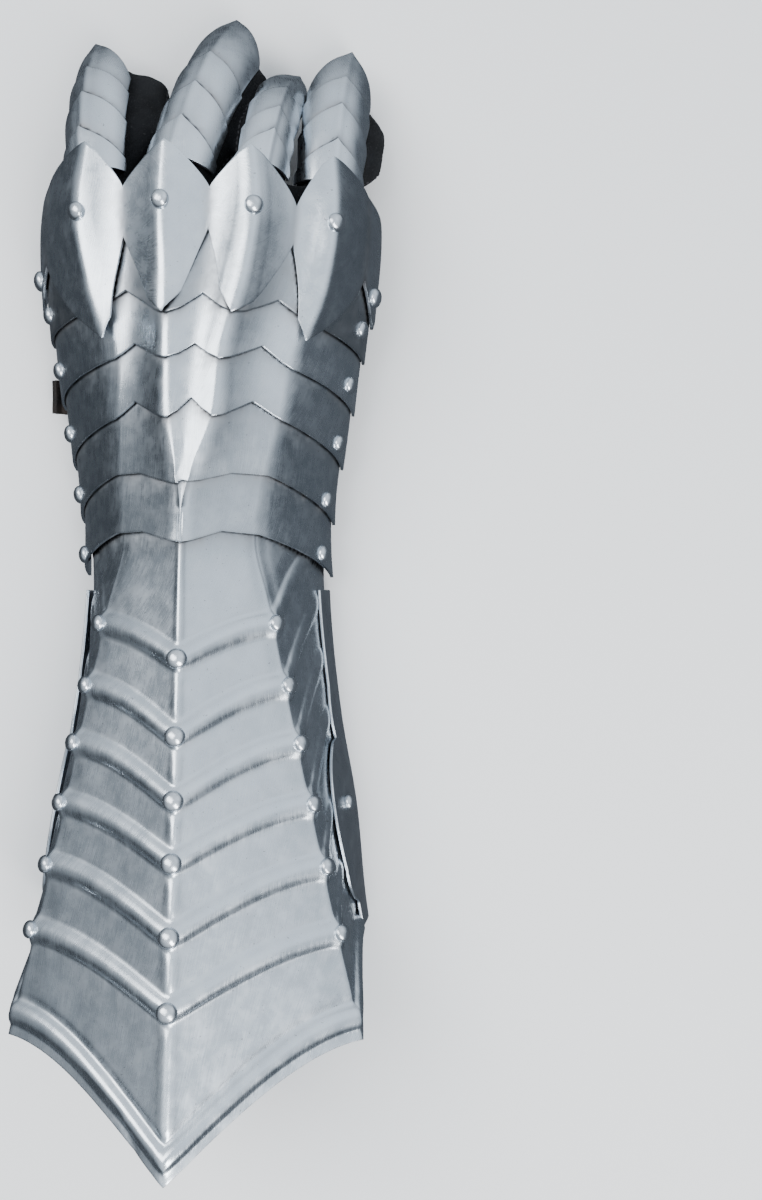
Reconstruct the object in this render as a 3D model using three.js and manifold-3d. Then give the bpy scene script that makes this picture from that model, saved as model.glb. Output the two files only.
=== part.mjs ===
// Armoured gauntlet for a right hand: a flared, fluted cuff, five lames over the wrist and the back
// of the hand, a knuckle plate of four diamonds, four scales on each finger and plates on the thumb,
// all riveted over a black glove. Millimetres, +Y towards the fingers, +Z up, lying palm down.
// The rest face of the cuff's inner plate is at z = 0 and the cuff's ridge runs above x = 0.
import * as THREE from 'three';
import { mergeVertices } from 'three/addons/utils/BufferGeometryUtils.js';
import Module from 'manifold-3d';

const wasm = await Module();
wasm.setup();

// ---------------------------------------------------------------- driving dimensions
const PLATE = 1.2;             // thickness of each steel plate
const GAP = 0.35;              // air between pieces that touch on the real thing
const RISE = 0.078;            // how far a lame climbs off the form for each mm of its length
const FLUTE = { height: 2.0, foot: 4.8, crown: 1.7, fadeFrom: 0.08, fadeTo: 0.42 };
const RIM = { height: 1.8, start: 12, crest: 8, end: 4 };
const CUFF_FRONT = 38;         // where the cuff ends under the last lame
const RIDGE_RIVET = 3.8;       // head radius
const EDGE_RIVET = 3.3;
const SIDE_RIVET = 3.2;
const KNUCKLE_RIVET = 3.4;
const SHANK = 1.5;             // radius of every rivet's shank
const HOLE = { air: 0.55, depth: 14, sides: 4 };   // a rivet's hole: air round the shank, and its cut
const TAIL = 0.6;              // how far a loose rivet's shank ends past the plate's inner face
const PIVOT_TAIL = 2.0;        // the same for the rivets that are one solid with their plate
const FLANGE_OUT = 0.7;        // air between the cuff's side and the inner plate's flange, at its foot
const FLANGE_LEAN = 1.2;       // how much more of it there is at the height of the crease
const SIDE_RIVET_AT = { across: 0.42, ahead: 6, stand: 2.6, shank: 5.6, lift: 1.5 };
const CLOTH = 2;               // wall of the glove
const LEATHER = 2.4;           // wall of the thumb strap
const INNER_PLATE = { front: 4, back: -126, corner: 9, wall: 24, lobe: 19, lobeAt: -84, lobeHalf: 31 };

// A short table: column names first, then one row for each section or piece.
const table = (columns, ...rows) =>
  rows.map((row) => Object.fromEntries(columns.map((name, i) => [name, row[i]])));

// The form that the plates are shaped over: the creases that run along the arm, by station y.
const FORM = table(
  ['y', 'leftFoot', 'leftCrease', 'leftCreaseZ', 'leftRidge', 'leftRidgeZ',
    'rightRidge', 'rightRidgeZ', 'rightCrease', 'rightCreaseZ', 'rightFoot', 'footZ', 'hollow'],
  [-200, -72, -72, 61.5, 0, 97.5, 0, 97.5, 72, 61.5, 72, 9, 0],
  [-158, -66, -63.8, 59.5, 0, 91, 0, 91, 63.8, 59.5, 66, 9, 0],
  [-120, -59, -54.6, 57.5, 0, 85.8, 0, 85.8, 54.6, 57.5, 59.5, 9, 0],
  [-80, -53, -45.8, 56, 0, 79.8, 0, 79.8, 45.8, 56, 55.5, 9, 0],
  [-45, -47, -38.2, 54.8, 0, 74.8, 0, 74.8, 38.2, 54.8, 49.5, 9, 0],
  [0, -43.5, -28.8, 52.8, 0, 69.4, 0, 69.4, 28.8, 52.8, 45, 10, 0],
  [20, -44, -24, 51.5, 0, 67, 0, 67, 24, 51.5, 45, 12, 0],
  [41, -46, -24, 52.5, 0, 68, 2, 68, 26.5, 52.5, 47, 13, 0.4],
  [65, -50, -24.2, 55, -3.7, 69.5, 11.4, 69.5, 33, 54.5, 52, 14, 1.4],
  [90, -54.5, -24.4, 57, -4.1, 70.5, 14.8, 70, 38, 55, 57, 16, 2.6],
  [115, -58, -31, 60, -3.8, 71.5, 22, 70.5, 47.5, 55.5, 62, 18, 3.6],
  [140, -60, -36, 62.5, -4.9, 72.5, 26.2, 71, 52.5, 57.5, 66, 20, 4.4],
  [168, -58, -34.4, 62, -4.2, 72, 24.4, 70, 52, 56, 67, 24, 3],
);

// The cuff's raised flutes: where each crosses the ridge, the side crease and the plate's lower edge.
const FLUTES = table(
  ['ridge', 'crease', 'foot'],
  [-21, -9, 24],
  [-48, -31.5, 2],
  [-70, -52.5, -19],
  [-91, -74.3, -40],
  [-115.5, -96.7, -62],
  [-140, -120.4, -85],
);
const CUFF_END = { ridge: -196, crease: -158, foot: -131 };

// The lames, from the knuckles to the wrist. front is the hidden end under the plate before it; the
// rest is the zigzag of the free end, from the left edge to the right.
const LAMES = table(
  ['name', 'front', 'leftFoot', 'leftCrease', 'leftPeak', 'leftRidge', 'middle', 'rightRidge',
    'rightPeak', 'rightCrease', 'rightFoot'],
  ['lame_1', 142, 100, 107, 111.5, 101, 108.5, 101.5, 108, 101.5, 93],
  ['lame_2', 121, 76, 88, 92.5, 85.5, 90.7, 85, 91.5, 84, 73],
  ['lame_3', 100, 52, 66, 71.5, 64.5, 71.5, 65, 71.3, 65.5, 52],
  ['lame_4', 79, 31, 46, 46, 41.5, 42.5, 42.5, 46.3, 46, 30],
  ['lame_5', 58, 10, 24.5, 24.8, 20.5, 20.3, 20.5, 25, 24, 9],
);
const LAME_MARKS = { leftFoot: 0, leftCrease: 1, leftPeak: 1.4, leftRidge: 2, middle: 2.5,
  rightRidge: 3, rightPeak: 3.5, rightCrease: 4, rightFoot: 5 };
const LAME_RIVETS = table(
  ['lame', 'left', 'right'],
  ['lame_1', 110, 104],
  ['lame_2', 89, 83],
  ['lame_3', 65, 61],
  ['lame_4', 41.5, 39],
  ['lame_5', 18, 18],
);
const LAME_TRIM = 6;           // how far a lame stops short of where its inner face would meet the form
const LAME_RIVET_AT = 0.3;     // how far up the side, in widths of the side

// The knuckle plate: its front and back edge across the form. Points are diamond tips, and the
// stretches between them are the webs.
const KNUCKLES = table(
  ['across', 'front', 'back', 'tip'],
  [0, 146, 119, false],
  [0.14, 149, 112, true],
  [0.5, 156, 127, false],
  [1, 165, 96, true],
  [1.5, 148, 130, false],
  [2, 162, 101, true],
  [2.5, 146, 131, false],
  [3, 160, 101, true],
  [3.5, 141, 127.5, false],
  [4, 160, 95, true],
  [4.5, 151, 121, false],
  [4.9, 147, 106, true],
  [5, 145, 110, false],
);
const KNUCKLE_FRONT = 169;     // where the knuckle plate's inner face meets the form
const TIP_SHAPE = 0.78;        // below 1, a tip's edges bulge like a leaf's

// The fingers: x at the knuckle, heading in the plan, roll of the plates about the finger, how steep
// the finger is at the knuckle and at its end, and how far the glove bulges at its outer side.
const FINGERS = table(
  ['name', 'x', 'y', 'top', 'heading', 'roll', 'curlStart', 'curlEnd', 'length', 'radius', 'cover',
    'bulgeLeft', 'bulgeRight', 'point1', 'point2', 'point3', 'point4'],
  ['index', -33.5, 150, 59.2, -4, -20, 8, 53, 66, 10.9, 72, 0.5, 8, 20, 35.5, 50, 71],
  ['middle', -3, 150, 69.6, 13, -10, 10, 60, 80, 11.2, 74, 5, 0.5, 19, 34, 51, 84],
  ['ring', 24.9, 148, 68.2, 6, 24, 15, 70, 65, 8.4, 62, 0, 0, 18, 30, 45, 72],
  ['little', 48.9, 147, 52, 3.5, 16, 6, 50, 61, 10.8, 72, 0, 8, 19, 34, 49, 70],
);
const SCALE_COUNT = 4;
const SCALE_POINT = 11;        // how far a scale's point stands out past its lower corners
const TIP_POINT = 22;          // the same for the long point of the last scale
const SCALE_LAP = 5;           // how far a scale runs under the one behind it
const SCALE_PLATE = 1;         // thickness of a scale
const SCALE_STEP = 1.4;        // each scale stands this much off the next one towards the fingertip
const SCALE_RISE = 0.085;      // how far a scale climbs off the finger for each mm of its length
const SCALE_START = 5;         // where the first scale begins, in front of the palm

// The glove's hand, an ellipse at each station y.
const PALM = table(
  ['y', 'x', 'z', 'halfWidth', 'halfHeight'],
  [-6, 0, 35, 32, 22],
  [20, 0, 36, 30, 21.5],
  [65, 3, 37, 38, 18],
  [110, 4, 42, 45, 17],
  [138, 7, 42, 48, 17],
  [150, 8, 42, 47, 16],
);

// The thumb lies beside the palm with its back to the left.
const THUMB = { name: 'thumb', x: -32.5, y: 74, z: 23.5, heading: -7, roll: -76, curlStart: 14, curlEnd: 2,
  length: 76, radius: 10, cover: 58, bulgeLeft: 0, bulgeRight: 0 };
const THUMB_PLATES = table(
  ['name', 'from', 'to', 'lift'],
  ['thumb_base_plate', 16, 46, 2.9],
  ['thumb_middle_scale', 32, 62, 1.5],
  ['thumb_tip_scale', 47, 80, 0.1],
);

// The leather tab that hangs from the second lame to the thumb: its outer face, from the top down,
// with the lower edge curled out.
const STRAP = { from: 75, to: 88, face: table(['x', 'z'], [-47, 26], [-48.5, 20], [-51.5, 12], [-56, 7.5],
  [-61, 6.5], [-63.5, 10]) };

const STEEL = new THREE.MeshStandardMaterial({ color: 0xb9c2cc, roughness: 0.33, metalness: 1 });
const RIVET_STEEL = new THREE.MeshStandardMaterial({ color: 0xd3d8dd, roughness: 0.2, metalness: 1 });
const BLACK_CLOTH = new THREE.MeshStandardMaterial({ color: 0x16181c, roughness: 0.95, metalness: 0 });
const BROWN_LEATHER = new THREE.MeshStandardMaterial({ color: 0x3a2a22, roughness: 0.8, metalness: 0 });

// ---------------------------------------------------------------- small helpers
const DEG = Math.PI / 180;
const lerp = THREE.MathUtils.lerp;
const smooth = THREE.MathUtils.smoothstep;
const vec = (x, y, z) => new THREE.Vector3(x, y, z);

// Even steps between the listed marks, so that a crease always falls on a column.
function steps(marks, perUnit) {
  const list = [marks[0]];
  for (let i = 1; i < marks.length; i += 1) {
    const span = marks[i] - marks[i - 1];
    const count = Math.max(1, Math.round(span * perUnit));
    for (let k = 1; k <= count; k += 1) list.push(marks[i - 1] + (span * k) / count);
  }
  return list;
}

// A column of a table at station y, on a smooth curve through its rows.
function along(rows, key, y) {
  let i = 0;
  while (i < rows.length - 2 && y > rows[i + 1].y) i += 1;
  const slope = (a, b) => (b[key] - a[key]) / (b.y - a.y);
  const a = rows[i];
  const b = rows[i + 1];
  const middle = slope(a, b);
  const before = i > 0 ? (slope(rows[i - 1], a) + middle) / 2 : middle;
  const after = i < rows.length - 2 ? (middle + slope(b, rows[i + 2])) / 2 : middle;
  const span = b.y - a.y;
  const t = Math.min(1, Math.max(0, (y - a.y) / span));
  return a[key] * (2 * t ** 3 - 3 * t ** 2 + 1) + b[key] * (3 * t ** 2 - 2 * t ** 3)
    + before * span * (t ** 3 - 2 * t ** 2 + t) + after * span * (t ** 3 - t ** 2);
}

function volume(geometry) {
  const at = geometry.attributes.position;
  const index = geometry.index;
  const [a, b, c] = [vec(), vec(), vec()];
  let sum = 0;
  for (let i = 0; i < index.count; i += 3) {
    a.fromBufferAttribute(at, index.getX(i));
    b.fromBufferAttribute(at, index.getX(i + 1));
    c.fromBufferAttribute(at, index.getX(i + 2));
    sum += a.dot(b.cross(c));
  }
  return sum / 6;
}

// A closed geometry with shared vertices whose faces point out.
function closed(geometry) {
  geometry.deleteAttribute('normal');
  geometry.deleteAttribute('uv');
  const merged = mergeVertices(geometry, 1e-4);
  const index = merged.index.array;
  const kept = [];
  for (let i = 0; i < index.length; i += 3) {
    const [a, b, c] = [index[i], index[i + 1], index[i + 2]];
    if (a !== b && b !== c && c !== a) kept.push(a, b, c);
  }
  merged.setIndex(kept);
  if (volume(merged) < 0) {
    for (let i = 0; i < kept.length; i += 3) [kept[i], kept[i + 1]] = [kept[i + 1], kept[i]];
    merged.setIndex(kept);
  }
  return merged;
}

function solid(geometry) {
  const shape = closed(geometry);
  return new wasm.Manifold(new wasm.Mesh({
    numProp: 3,
    vertProperties: new Float32Array(shape.attributes.position.array),
    triVerts: new Uint32Array(shape.index.array),
  }));
}

function geometryOf(manifold) {
  const mesh = manifold.getMesh();
  const geometry = new THREE.BufferGeometry();
  geometry.setAttribute('position', new THREE.BufferAttribute(new Float32Array(mesh.vertProperties), 3));
  geometry.setIndex(Array.from(mesh.triVerts));
  return geometry;
}

// A closed skin over rings of points; each ring has the same count, and both ends are capped.
function loft(rings) {
  const count = rings[0].length;
  const points = rings.flat();
  const index = [];
  for (let r = 0; r < rings.length - 1; r += 1) {
    for (let i = 0; i < count; i += 1) {
      const next = (i + 1) % count;
      const [a, b, c, d] = [r * count + i, r * count + next, (r + 1) * count + i, (r + 1) * count + next];
      index.push(a, c, b, b, c, d);
    }
  }
  const last = (rings.length - 1) * count;
  for (let i = 1; i < count - 1; i += 1) index.push(0, i, i + 1, last, last + i + 1, last + i);
  return fromPoints(points, index);
}

function fromPoints(points, index) {
  const geometry = new THREE.BufferGeometry();
  geometry.setAttribute('position', new THREE.Float32BufferAttribute(points.flatMap((p) => p.toArray()), 3));
  geometry.setIndex(index);
  return geometry;
}

// A plate from a grid of points on its outer face: the inner face lies thickness behind it, and the
// four edges are closed.
function plate(columns, rows, outerPoint, thickness = PLATE) {
  const outer = columns.map((u, i) => Array.from({ length: rows }, (_, j) => outerPoint(u, j / (rows - 1), i, j)));
  const wide = columns.length;
  const normal = (i, j) => {
    const acrossStep = outer[Math.min(i + 1, wide - 1)][j].clone().sub(outer[Math.max(i - 1, 0)][j]);
    const alongStep = outer[i][Math.min(j + 1, rows - 1)].clone().sub(outer[i][Math.max(j - 1, 0)]);
    return acrossStep.cross(alongStep).normalize();
  };
  const inner = outer.map((column, i) => column.map((p, j) => p.clone().addScaledVector(normal(i, j), -thickness)));
  const points = [...outer.flat(), ...inner.flat()];
  const under = wide * rows;
  const at = (i, j) => i * rows + j;
  const index = [];
  const quad = (a, b, c, d) => index.push(a, b, c, a, c, d);
  for (let i = 0; i < wide - 1; i += 1) {
    for (let j = 0; j < rows - 1; j += 1) {
      const [a, b, c, d] = [at(i, j), at(i + 1, j), at(i + 1, j + 1), at(i, j + 1)];
      quad(a, b, c, d);
      quad(under + d, under + c, under + b, under + a);
    }
  }
  const border = [];
  for (let i = 0; i < wide - 1; i += 1) border.push(at(i, 0));
  for (let j = 0; j < rows - 1; j += 1) border.push(at(wide - 1, j));
  for (let i = wide - 1; i > 0; i -= 1) border.push(at(i, rows - 1));
  for (let j = rows - 1; j > 0; j -= 1) border.push(at(0, j));
  border.forEach((a, k) => {
    const b = border[(k + 1) % border.length];
    quad(b, a, under + a, under + b);
  });
  return fromPoints(points, index);
}

// ---------------------------------------------------------------- the form
// across runs 0 at the left edge, 1 left crease, 2 left ridge, 3 right ridge, 4 right crease, 5 right edge.
function formPoint(across, y) {
  const row = (key) => along(FORM, key, y);
  const footZ = row('footZ');
  const marks = [
    [row('leftFoot'), footZ],
    [row('leftCrease'), row('leftCreaseZ')],
    [row('leftRidge'), row('leftRidgeZ')],
    [row('rightRidge'), row('rightRidgeZ')],
    [row('rightCrease'), row('rightCreaseZ')],
    [row('rightFoot'), footZ],
  ];
  const strip = Math.min(4, Math.max(0, Math.floor(across)));
  const t = across - strip;
  const [[x0, z0], [x1, z1]] = [marks[strip], marks[strip + 1]];
  if (strip === 0 || strip === 4) {
    const down = strip === 0 ? 1 - t : t;
    const [top, foot] = strip === 0 ? [marks[1], marks[0]] : [marks[4], marks[5]];
    const out = Math.sin(Math.min(1, down) * 90 * DEG) ** 0.9;
    return vec(lerp(top[0], foot[0], out), y, lerp(top[1], foot[1], down));
  }
  const sag = row('hollow') * Math.sin(Math.PI * t);
  return vec(lerp(x0, x1, t), y, lerp(z0, z1, t) - sag);
}

// On the cuff both ridges are one line, so a step across it skips the empty strip between them.
function stepAcross(across, step, y) {
  const merged = along(FORM, 'rightRidge', y) - along(FORM, 'leftRidge', y) < 1;
  const to = across + step;
  if (merged && across <= 2 && to > 2) return to + 1;
  if (merged && across >= 3 && to < 3) return to - 1;
  return Math.min(5, Math.max(0, to));
}

function formNormal(across, y) {
  const wide = 0.12;
  const right = formPoint(stepAcross(across, wide, y), y).sub(formPoint(stepAcross(across, -wide, y), y));
  const ahead = formPoint(across, y + 1).sub(formPoint(across, y - 1));
  return right.cross(ahead).normalize();
}

const onForm = (across, y, height) => formPoint(across, y).addScaledVector(formNormal(across, y), height);

// ---------------------------------------------------------------- rivets
// A domed head on a shank, standing on the origin and pointing up +Y. below is the shank's length.
function rivetGeometry(head, below, lift = 0, sides = 6) {
  const profile = [
    [0, -below],
    [SHANK, -below],
    [SHANK, lift],
    [head, lift],
    [head * 0.8, lift + head * 0.42],
    [0, lift + head * 0.66],
  ];
  return new THREE.LatheGeometry(profile.map(([r, h]) => new THREE.Vector2(r, h)), sides);
}

const UP = vec(0, 1, 0);
function placed(geometry, point, normal) {
  geometry.applyQuaternion(new THREE.Quaternion().setFromUnitVectors(UP, normal));
  return geometry.translate(point.x, point.y, point.z);
}

const rivetHole = (point, normal) =>
  solid(placed(new THREE.CylinderGeometry(SHANK + HOLE.air, SHANK + HOLE.air, HOLE.depth, HOLE.sides), point, normal));

const gauntlet = new THREE.Group();
function add(name, geometry, material) {
  const mesh = new THREE.Mesh(geometry, material);
  mesh.name = name;
  gauntlet.add(mesh);
}

// ---------------------------------------------------------------- cuff
// Lines that run across the cuff arch from the ridge towards the wrist and out to the sides.
function arched(line, across) {
  const s = across <= 2 ? 2 - across : across - 3;
  if (s <= 1) return lerp(line.ridge, line.crease, 1 - (1 - s) ** 1.7);
  return lerp(line.crease, line.foot, 1 - (2 - s) ** 2);
}

const sideWays = (across) => Math.max(0, 1 - across, across - 4);

// Each row of the cuff's grid: a line across it, a shift along y and a height off the form.
function cuffRows() {
  const front = { ridge: CUFF_FRONT - 4, crease: CUFF_FRONT, foot: CUFF_FRONT - 6 };
  const mix = (a, b, t) => ({ ridge: lerp(a.ridge, b.ridge, t), crease: lerp(a.crease, b.crease, t),
    foot: lerp(a.foot, b.foot, t) });
  const rows = [{ line: front, shift: 0, height: 0 }, { line: mix(front, FLUTES[0], 0.5), shift: 0, height: 0 }];
  for (const line of FLUTES) {
    rows.push({ line, shift: FLUTE.foot, height: 0 }, { line, shift: FLUTE.crown, height: FLUTE.height });
    rows.push({ line, shift: -FLUTE.crown, height: FLUTE.height }, { line, shift: -FLUTE.foot, height: 0 });
  }
  rows.push({ line: mix(FLUTES.at(-1), CUFF_END, 0.5), shift: 0, height: 0 });
  rows.push({ line: CUFF_END, shift: RIM.start, height: 0 }, { line: CUFF_END, shift: RIM.crest, height: RIM.height });
  rows.push({ line: CUFF_END, shift: RIM.end, height: 0.3 }, { line: CUFF_END, shift: 0, height: 0 });
  return rows.reverse();
}

function cuffPoint(across, row) {
  const y = arched(row.line, across) + row.shift;
  const fade = 1 - smooth(sideWays(across), FLUTE.fadeFrom, FLUTE.fadeTo);
  return onForm(across, y, PLATE + row.height * fade);
}

function cuffRivets() {
  const list = [];
  FLUTES.forEach((flute, i) => {
    const places = [['ridge', 2, flute.ridge], ['left', 1, flute.crease], ['right', 4, flute.crease]];
    for (const [side, across, y] of places) {
      const normal = formNormal(across, y);
      const point = formPoint(across, y).addScaledVector(normal, PLATE + FLUTE.height);
      list.push({ name: `rivet_${side}_${i + 1}`, point, normal, head: side === 'ridge' ? RIDGE_RIVET : EDGE_RIVET });
    }
  });
  return list;
}

function sideRivet(sign) {
  const across = sign < 0 ? SIDE_RIVET_AT.across : 5 - SIDE_RIVET_AT.across;
  const y = INNER_PLATE.lobeAt + SIDE_RIVET_AT.ahead;
  return { point: formPoint(across, y), normal: formNormal(across, y) };
}

function buildCuff() {
  const rows = cuffRows();
  const columns = [...steps([0, 0.45, 1], 3), ...steps([1, 2], 3).slice(1), ...steps([3, 4], 3).slice(1),
    ...steps([4, 4.55, 5], 3).slice(1)];
  let cuff = solid(plate(columns, rows.length, (u, t, i, j) => cuffPoint(u, rows[j])));
  for (const { point, normal } of [...cuffRivets(), sideRivet(-1), sideRivet(1)]) {
    cuff = cuff.subtract(rivetHole(point, normal));
  }
  for (const side of ['left', 'right']) {
    cuff = cuff.subtract(lameHole('lame_5', side));
  }
  add('cuff_plate', geometryOf(cuff), STEEL);
  for (const { name, point, normal, head } of cuffRivets()) {
    add(name, closed(placed(rivetGeometry(head, FLUTE.height + PLATE + TAIL, GAP), point, normal)), RIVET_STEEL);
  }
}

// ---------------------------------------------------------------- cuff, inner plate
// It closes the cuff under the wrist: flat below, with a flange up each side that ends in a lobe.
function flangeTop(y) {
  const off = (y - INNER_PLATE.lobeAt) / INNER_PLATE.lobeHalf;
  return INNER_PLATE.wall + (Math.abs(off) < 1 ? INNER_PLATE.lobe * Math.sqrt(1 - off * off) : 0);
}

function innerPlatePoint(w, y) {
  const sign = Math.sign(w);
  const reach = Math.abs(w);
  const footZ = along(FORM, 'footZ', y);
  const wallX = (z) => {
    const down = THREE.MathUtils.clamp((along(FORM, 'rightCreaseZ', y) - z)
      / (along(FORM, 'rightCreaseZ', y) - footZ), 0, 1);
    return Math.abs(formPoint(4 + down, y).x) + 2 * PLATE + GAP
      + FLANGE_OUT + FLANGE_LEAN * (1 - down);
  };
  const flat = wallX(footZ) - INNER_PLATE.corner;
  if (reach <= 1) return vec(sign * flat * reach, y, 0);
  if (reach <= 2) {
    const turn = (reach - 1) * 90 * DEG;
    return vec(sign * (flat + INNER_PLATE.corner * Math.sin(turn)), y, INNER_PLATE.corner * (1 - Math.cos(turn)));
  }
  const z = lerp(INNER_PLATE.corner, flangeTop(y), reach - 2);
  return vec(sign * wallX(z), y, z);
}

function buildInnerPlate() {
  const columns = [-3, -2.6, -2, -1.67, -1.33, -1, 0, 1, 1.33, 1.67, 2, 2.6, 3];
  const stations = 12;
  let inner = solid(plate(columns, stations,
    (w, t) => innerPlatePoint(w, lerp(INNER_PLATE.front, INNER_PLATE.back, t))));
  for (const sign of [-1, 1]) {
    const { point, normal } = sideRivet(sign);
    const head = rivetGeometry(SIDE_RIVET, SIDE_RIVET_AT.shank, SIDE_RIVET_AT.lift);
    inner = inner.add(solid(placed(head, point.clone().addScaledVector(normal, SIDE_RIVET_AT.stand + PLATE), normal)));
  }
  add('cuff_inner_plate', geometryOf(inner), STEEL);
}

// ---------------------------------------------------------------- lames
const lameHeight = (front, y) => PLATE + RISE * (front - y);

function lameBack(lame, across) {
  const marks = Object.entries(LAME_MARKS);
  let i = 0;
  while (i < marks.length - 2 && across > marks[i + 1][1]) i += 1;
  const [[from, a], [to, b]] = [marks[i], marks[i + 1]];
  return lerp(lame[from], lame[to], (across - a) / (b - a));
}

const lameFront = (lame, across) => lame.front - LAME_TRIM - 4 * sideWays(across);

function lameRivet(name, side) {
  const lame = LAMES.find((row) => row.name === name);
  const y = LAME_RIVETS.find((row) => row.lame === name)[side];
  const across = side === 'left' ? LAME_RIVET_AT : 5 - LAME_RIVET_AT;
  const normal = formNormal(across, y);
  return { point: formPoint(across, y).addScaledVector(normal, lameHeight(lame.front, y)), normal };
}

function lameHole(name, side) {
  const { point, normal } = lameRivet(name, side);
  return rivetHole(point, normal);
}

function buildLames() {
  const columns = steps([0, 0.5, 1, 1.4, 2, 2.5, 3, 3.5, 4, 4.5, 5], 3);
  LAMES.forEach((lame, n) => {
    const shape = (u, t) => {
      const y = lerp(lameBack(lame, u), lameFront(lame, u), t);
      return onForm(u, y, lameHeight(lame.front, y));
    };
    let body = solid(plate(columns, 3, shape));
    for (const side of ['left', 'right']) {
      const { point, normal } = lameRivet(lame.name, side);
      body = body.add(solid(placed(rivetGeometry(SIDE_RIVET, 2 * PLATE + PIVOT_TAIL, -0.2), point, normal)));
      if (n > 0) body = body.subtract(lameHole(LAMES[n - 1].name, side));
    }
    add(lame.name, geometryOf(body), STEEL);
  });
}

// ---------------------------------------------------------------- knuckle plate
function knuckleEdge(key, across) {
  let i = 0;
  while (i < KNUCKLES.length - 2 && across > KNUCKLES[i + 1].across) i += 1;
  const [a, b] = [KNUCKLES[i], KNUCKLES[i + 1]];
  const [tip, web] = a.tip ? [a, b] : [b, a];
  const t = Math.abs(across - tip.across) / (b.across - a.across);
  return web[key] + (tip[key] - web[key]) * (1 - t) ** TIP_SHAPE;
}

const knuckleRivets = () => [[1, 139.5], [2, 140], [3, 138], [4, 136]].map(([across, y], i) => {
  const normal = formNormal(across, y);
  const point = formPoint(across, y).addScaledVector(normal, lameHeight(KNUCKLE_FRONT, y));
  return { name: `knuckle_rivet_${i + 1}`, point, normal, head: KNUCKLE_RIVET };
});

function buildKnucklePlate() {
  const columns = steps([0, 0.14, 0.5, 1, 1.5, 2, 2.5, 3, 3.5, 4, 4.5, 4.9, 5], 5);
  const shape = (u, t) => {
    const y = lerp(knuckleEdge('back', u), knuckleEdge('front', u), t);
    return onForm(u, y, lameHeight(KNUCKLE_FRONT, y));
  };
  let body = solid(plate(columns, 4, shape));
  for (const [across, y] of [[0.2, 124], [4.8, 117]]) {
    const normal = formNormal(across, y);
    const point = formPoint(across, y).addScaledVector(normal, lameHeight(KNUCKLE_FRONT, y));
    body = body.add(solid(placed(rivetGeometry(SIDE_RIVET + 0.8, PLATE + 0.4, -0.9), point, normal)));
  }
  for (const { point, normal } of knuckleRivets()) body = body.subtract(rivetHole(point, normal));
  add('knuckle_plate', geometryOf(body), STEEL);
  for (const { name, point, normal, head } of knuckleRivets()) {
    add(name, closed(placed(rivetGeometry(head, PLATE + TAIL, GAP), point, normal)), RIVET_STEEL);
  }
}

// ---------------------------------------------------------------- fingers
// The middle line of a finger: an arc that starts level and curls down. up and right are across it.
function fingerFrame(finger, s) {
  const turn = (finger.curlEnd - finger.curlStart) * DEG;
  const inside = Math.min(Math.max(s, 0), finger.length);
  const pitch0 = finger.curlStart * DEG;
  const pitch = pitch0 + (turn * inside) / finger.length;
  const radius = finger.length / turn;
  const beyond = s - inside;
  const forward = radius * (Math.sin(pitch) - Math.sin(pitch0)) + beyond * Math.cos(pitch);
  const drop = radius * (Math.cos(pitch0) - Math.cos(pitch)) + beyond * Math.sin(pitch);
  const heading = vec(Math.sin(finger.heading * DEG), Math.cos(finger.heading * DEG), 0);
  const startZ = finger.z ?? finger.top - finger.radius - 2.2 * PLATE;
  const centre = vec(finger.x, finger.y, startZ - drop).addScaledVector(heading, forward);
  const up = heading.clone().multiplyScalar(Math.sin(pitch)).add(vec(0, 0, Math.cos(pitch)));
  const right = vec(heading.y, -heading.x, 0);
  return { centre, up, right };
}

function around(finger, s, angle, radius) {
  const { centre, up, right } = fingerFrame(finger, s);
  const turned = (angle + finger.roll) * DEG;
  return centre.addScaledVector(up, radius * Math.cos(turned)).addScaledVector(right, radius * Math.sin(turned));
}

// A scale bent round the finger: a straight end under its neighbour and a pointed free end.
// lift is how far its middle line stands off the glove at the station start.
function scaleGeometry(finger, from, to, point, start, lift) {
  const columns = [-1, -0.7, -0.35, 0, 0.35, 0.7, 1];
  return closed(plate(columns, 4, (u, t) => {
    const end = to - point * Math.abs(u) ** 0.9;
    const s = lerp(from, end, t);
    const radius = finger.radius + GAP + SCALE_PLATE + lift + SCALE_RISE * (s - start);
    return around(finger, s, u * finger.cover, radius);
  }, SCALE_PLATE));
}

function buildScales() {
  for (const finger of FINGERS) {
    const startOf = (n) =>
      (n === 1 ? SCALE_START : Math.max(SCALE_START, finger[`point${n - 1}`] - SCALE_POINT - SCALE_LAP));
    for (let n = 1; n <= SCALE_COUNT; n += 1) {
      const point = n === SCALE_COUNT ? TIP_POINT : SCALE_POINT;
      const lift = SCALE_STEP * (SCALE_COUNT - n);
      add(`${finger.name}_scale_${n}`,
        scaleGeometry(finger, startOf(n), finger[`point${n}`], point, startOf(SCALE_COUNT), lift), STEEL);
    }
  }
}

// ---------------------------------------------------------------- glove
const RING = 8;
const FINGER_STEPS = 4;
function fingerRing(finger, s, wall, shrink = 1) {
  const ring = [];
  for (let i = 0; i < RING; i += 1) {
    const angle = (i / RING) * 360;
    const swell = (down) => smooth(down, finger.cover + 6, finger.cover + 40) * (1 - smooth(down, 130, 180));
    const sides = finger.bulgeRight * swell(angle) + finger.bulgeLeft * swell(360 - angle);
    const bulge = sides * smooth(s, 6, 30);
    const radius = (finger.radius + bulge - wall) * shrink;
    const p = around(finger, s, angle, radius);
    p.z = Math.max(p.z, wall);
    ring.push(p);
  }
  return ring;
}

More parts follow.
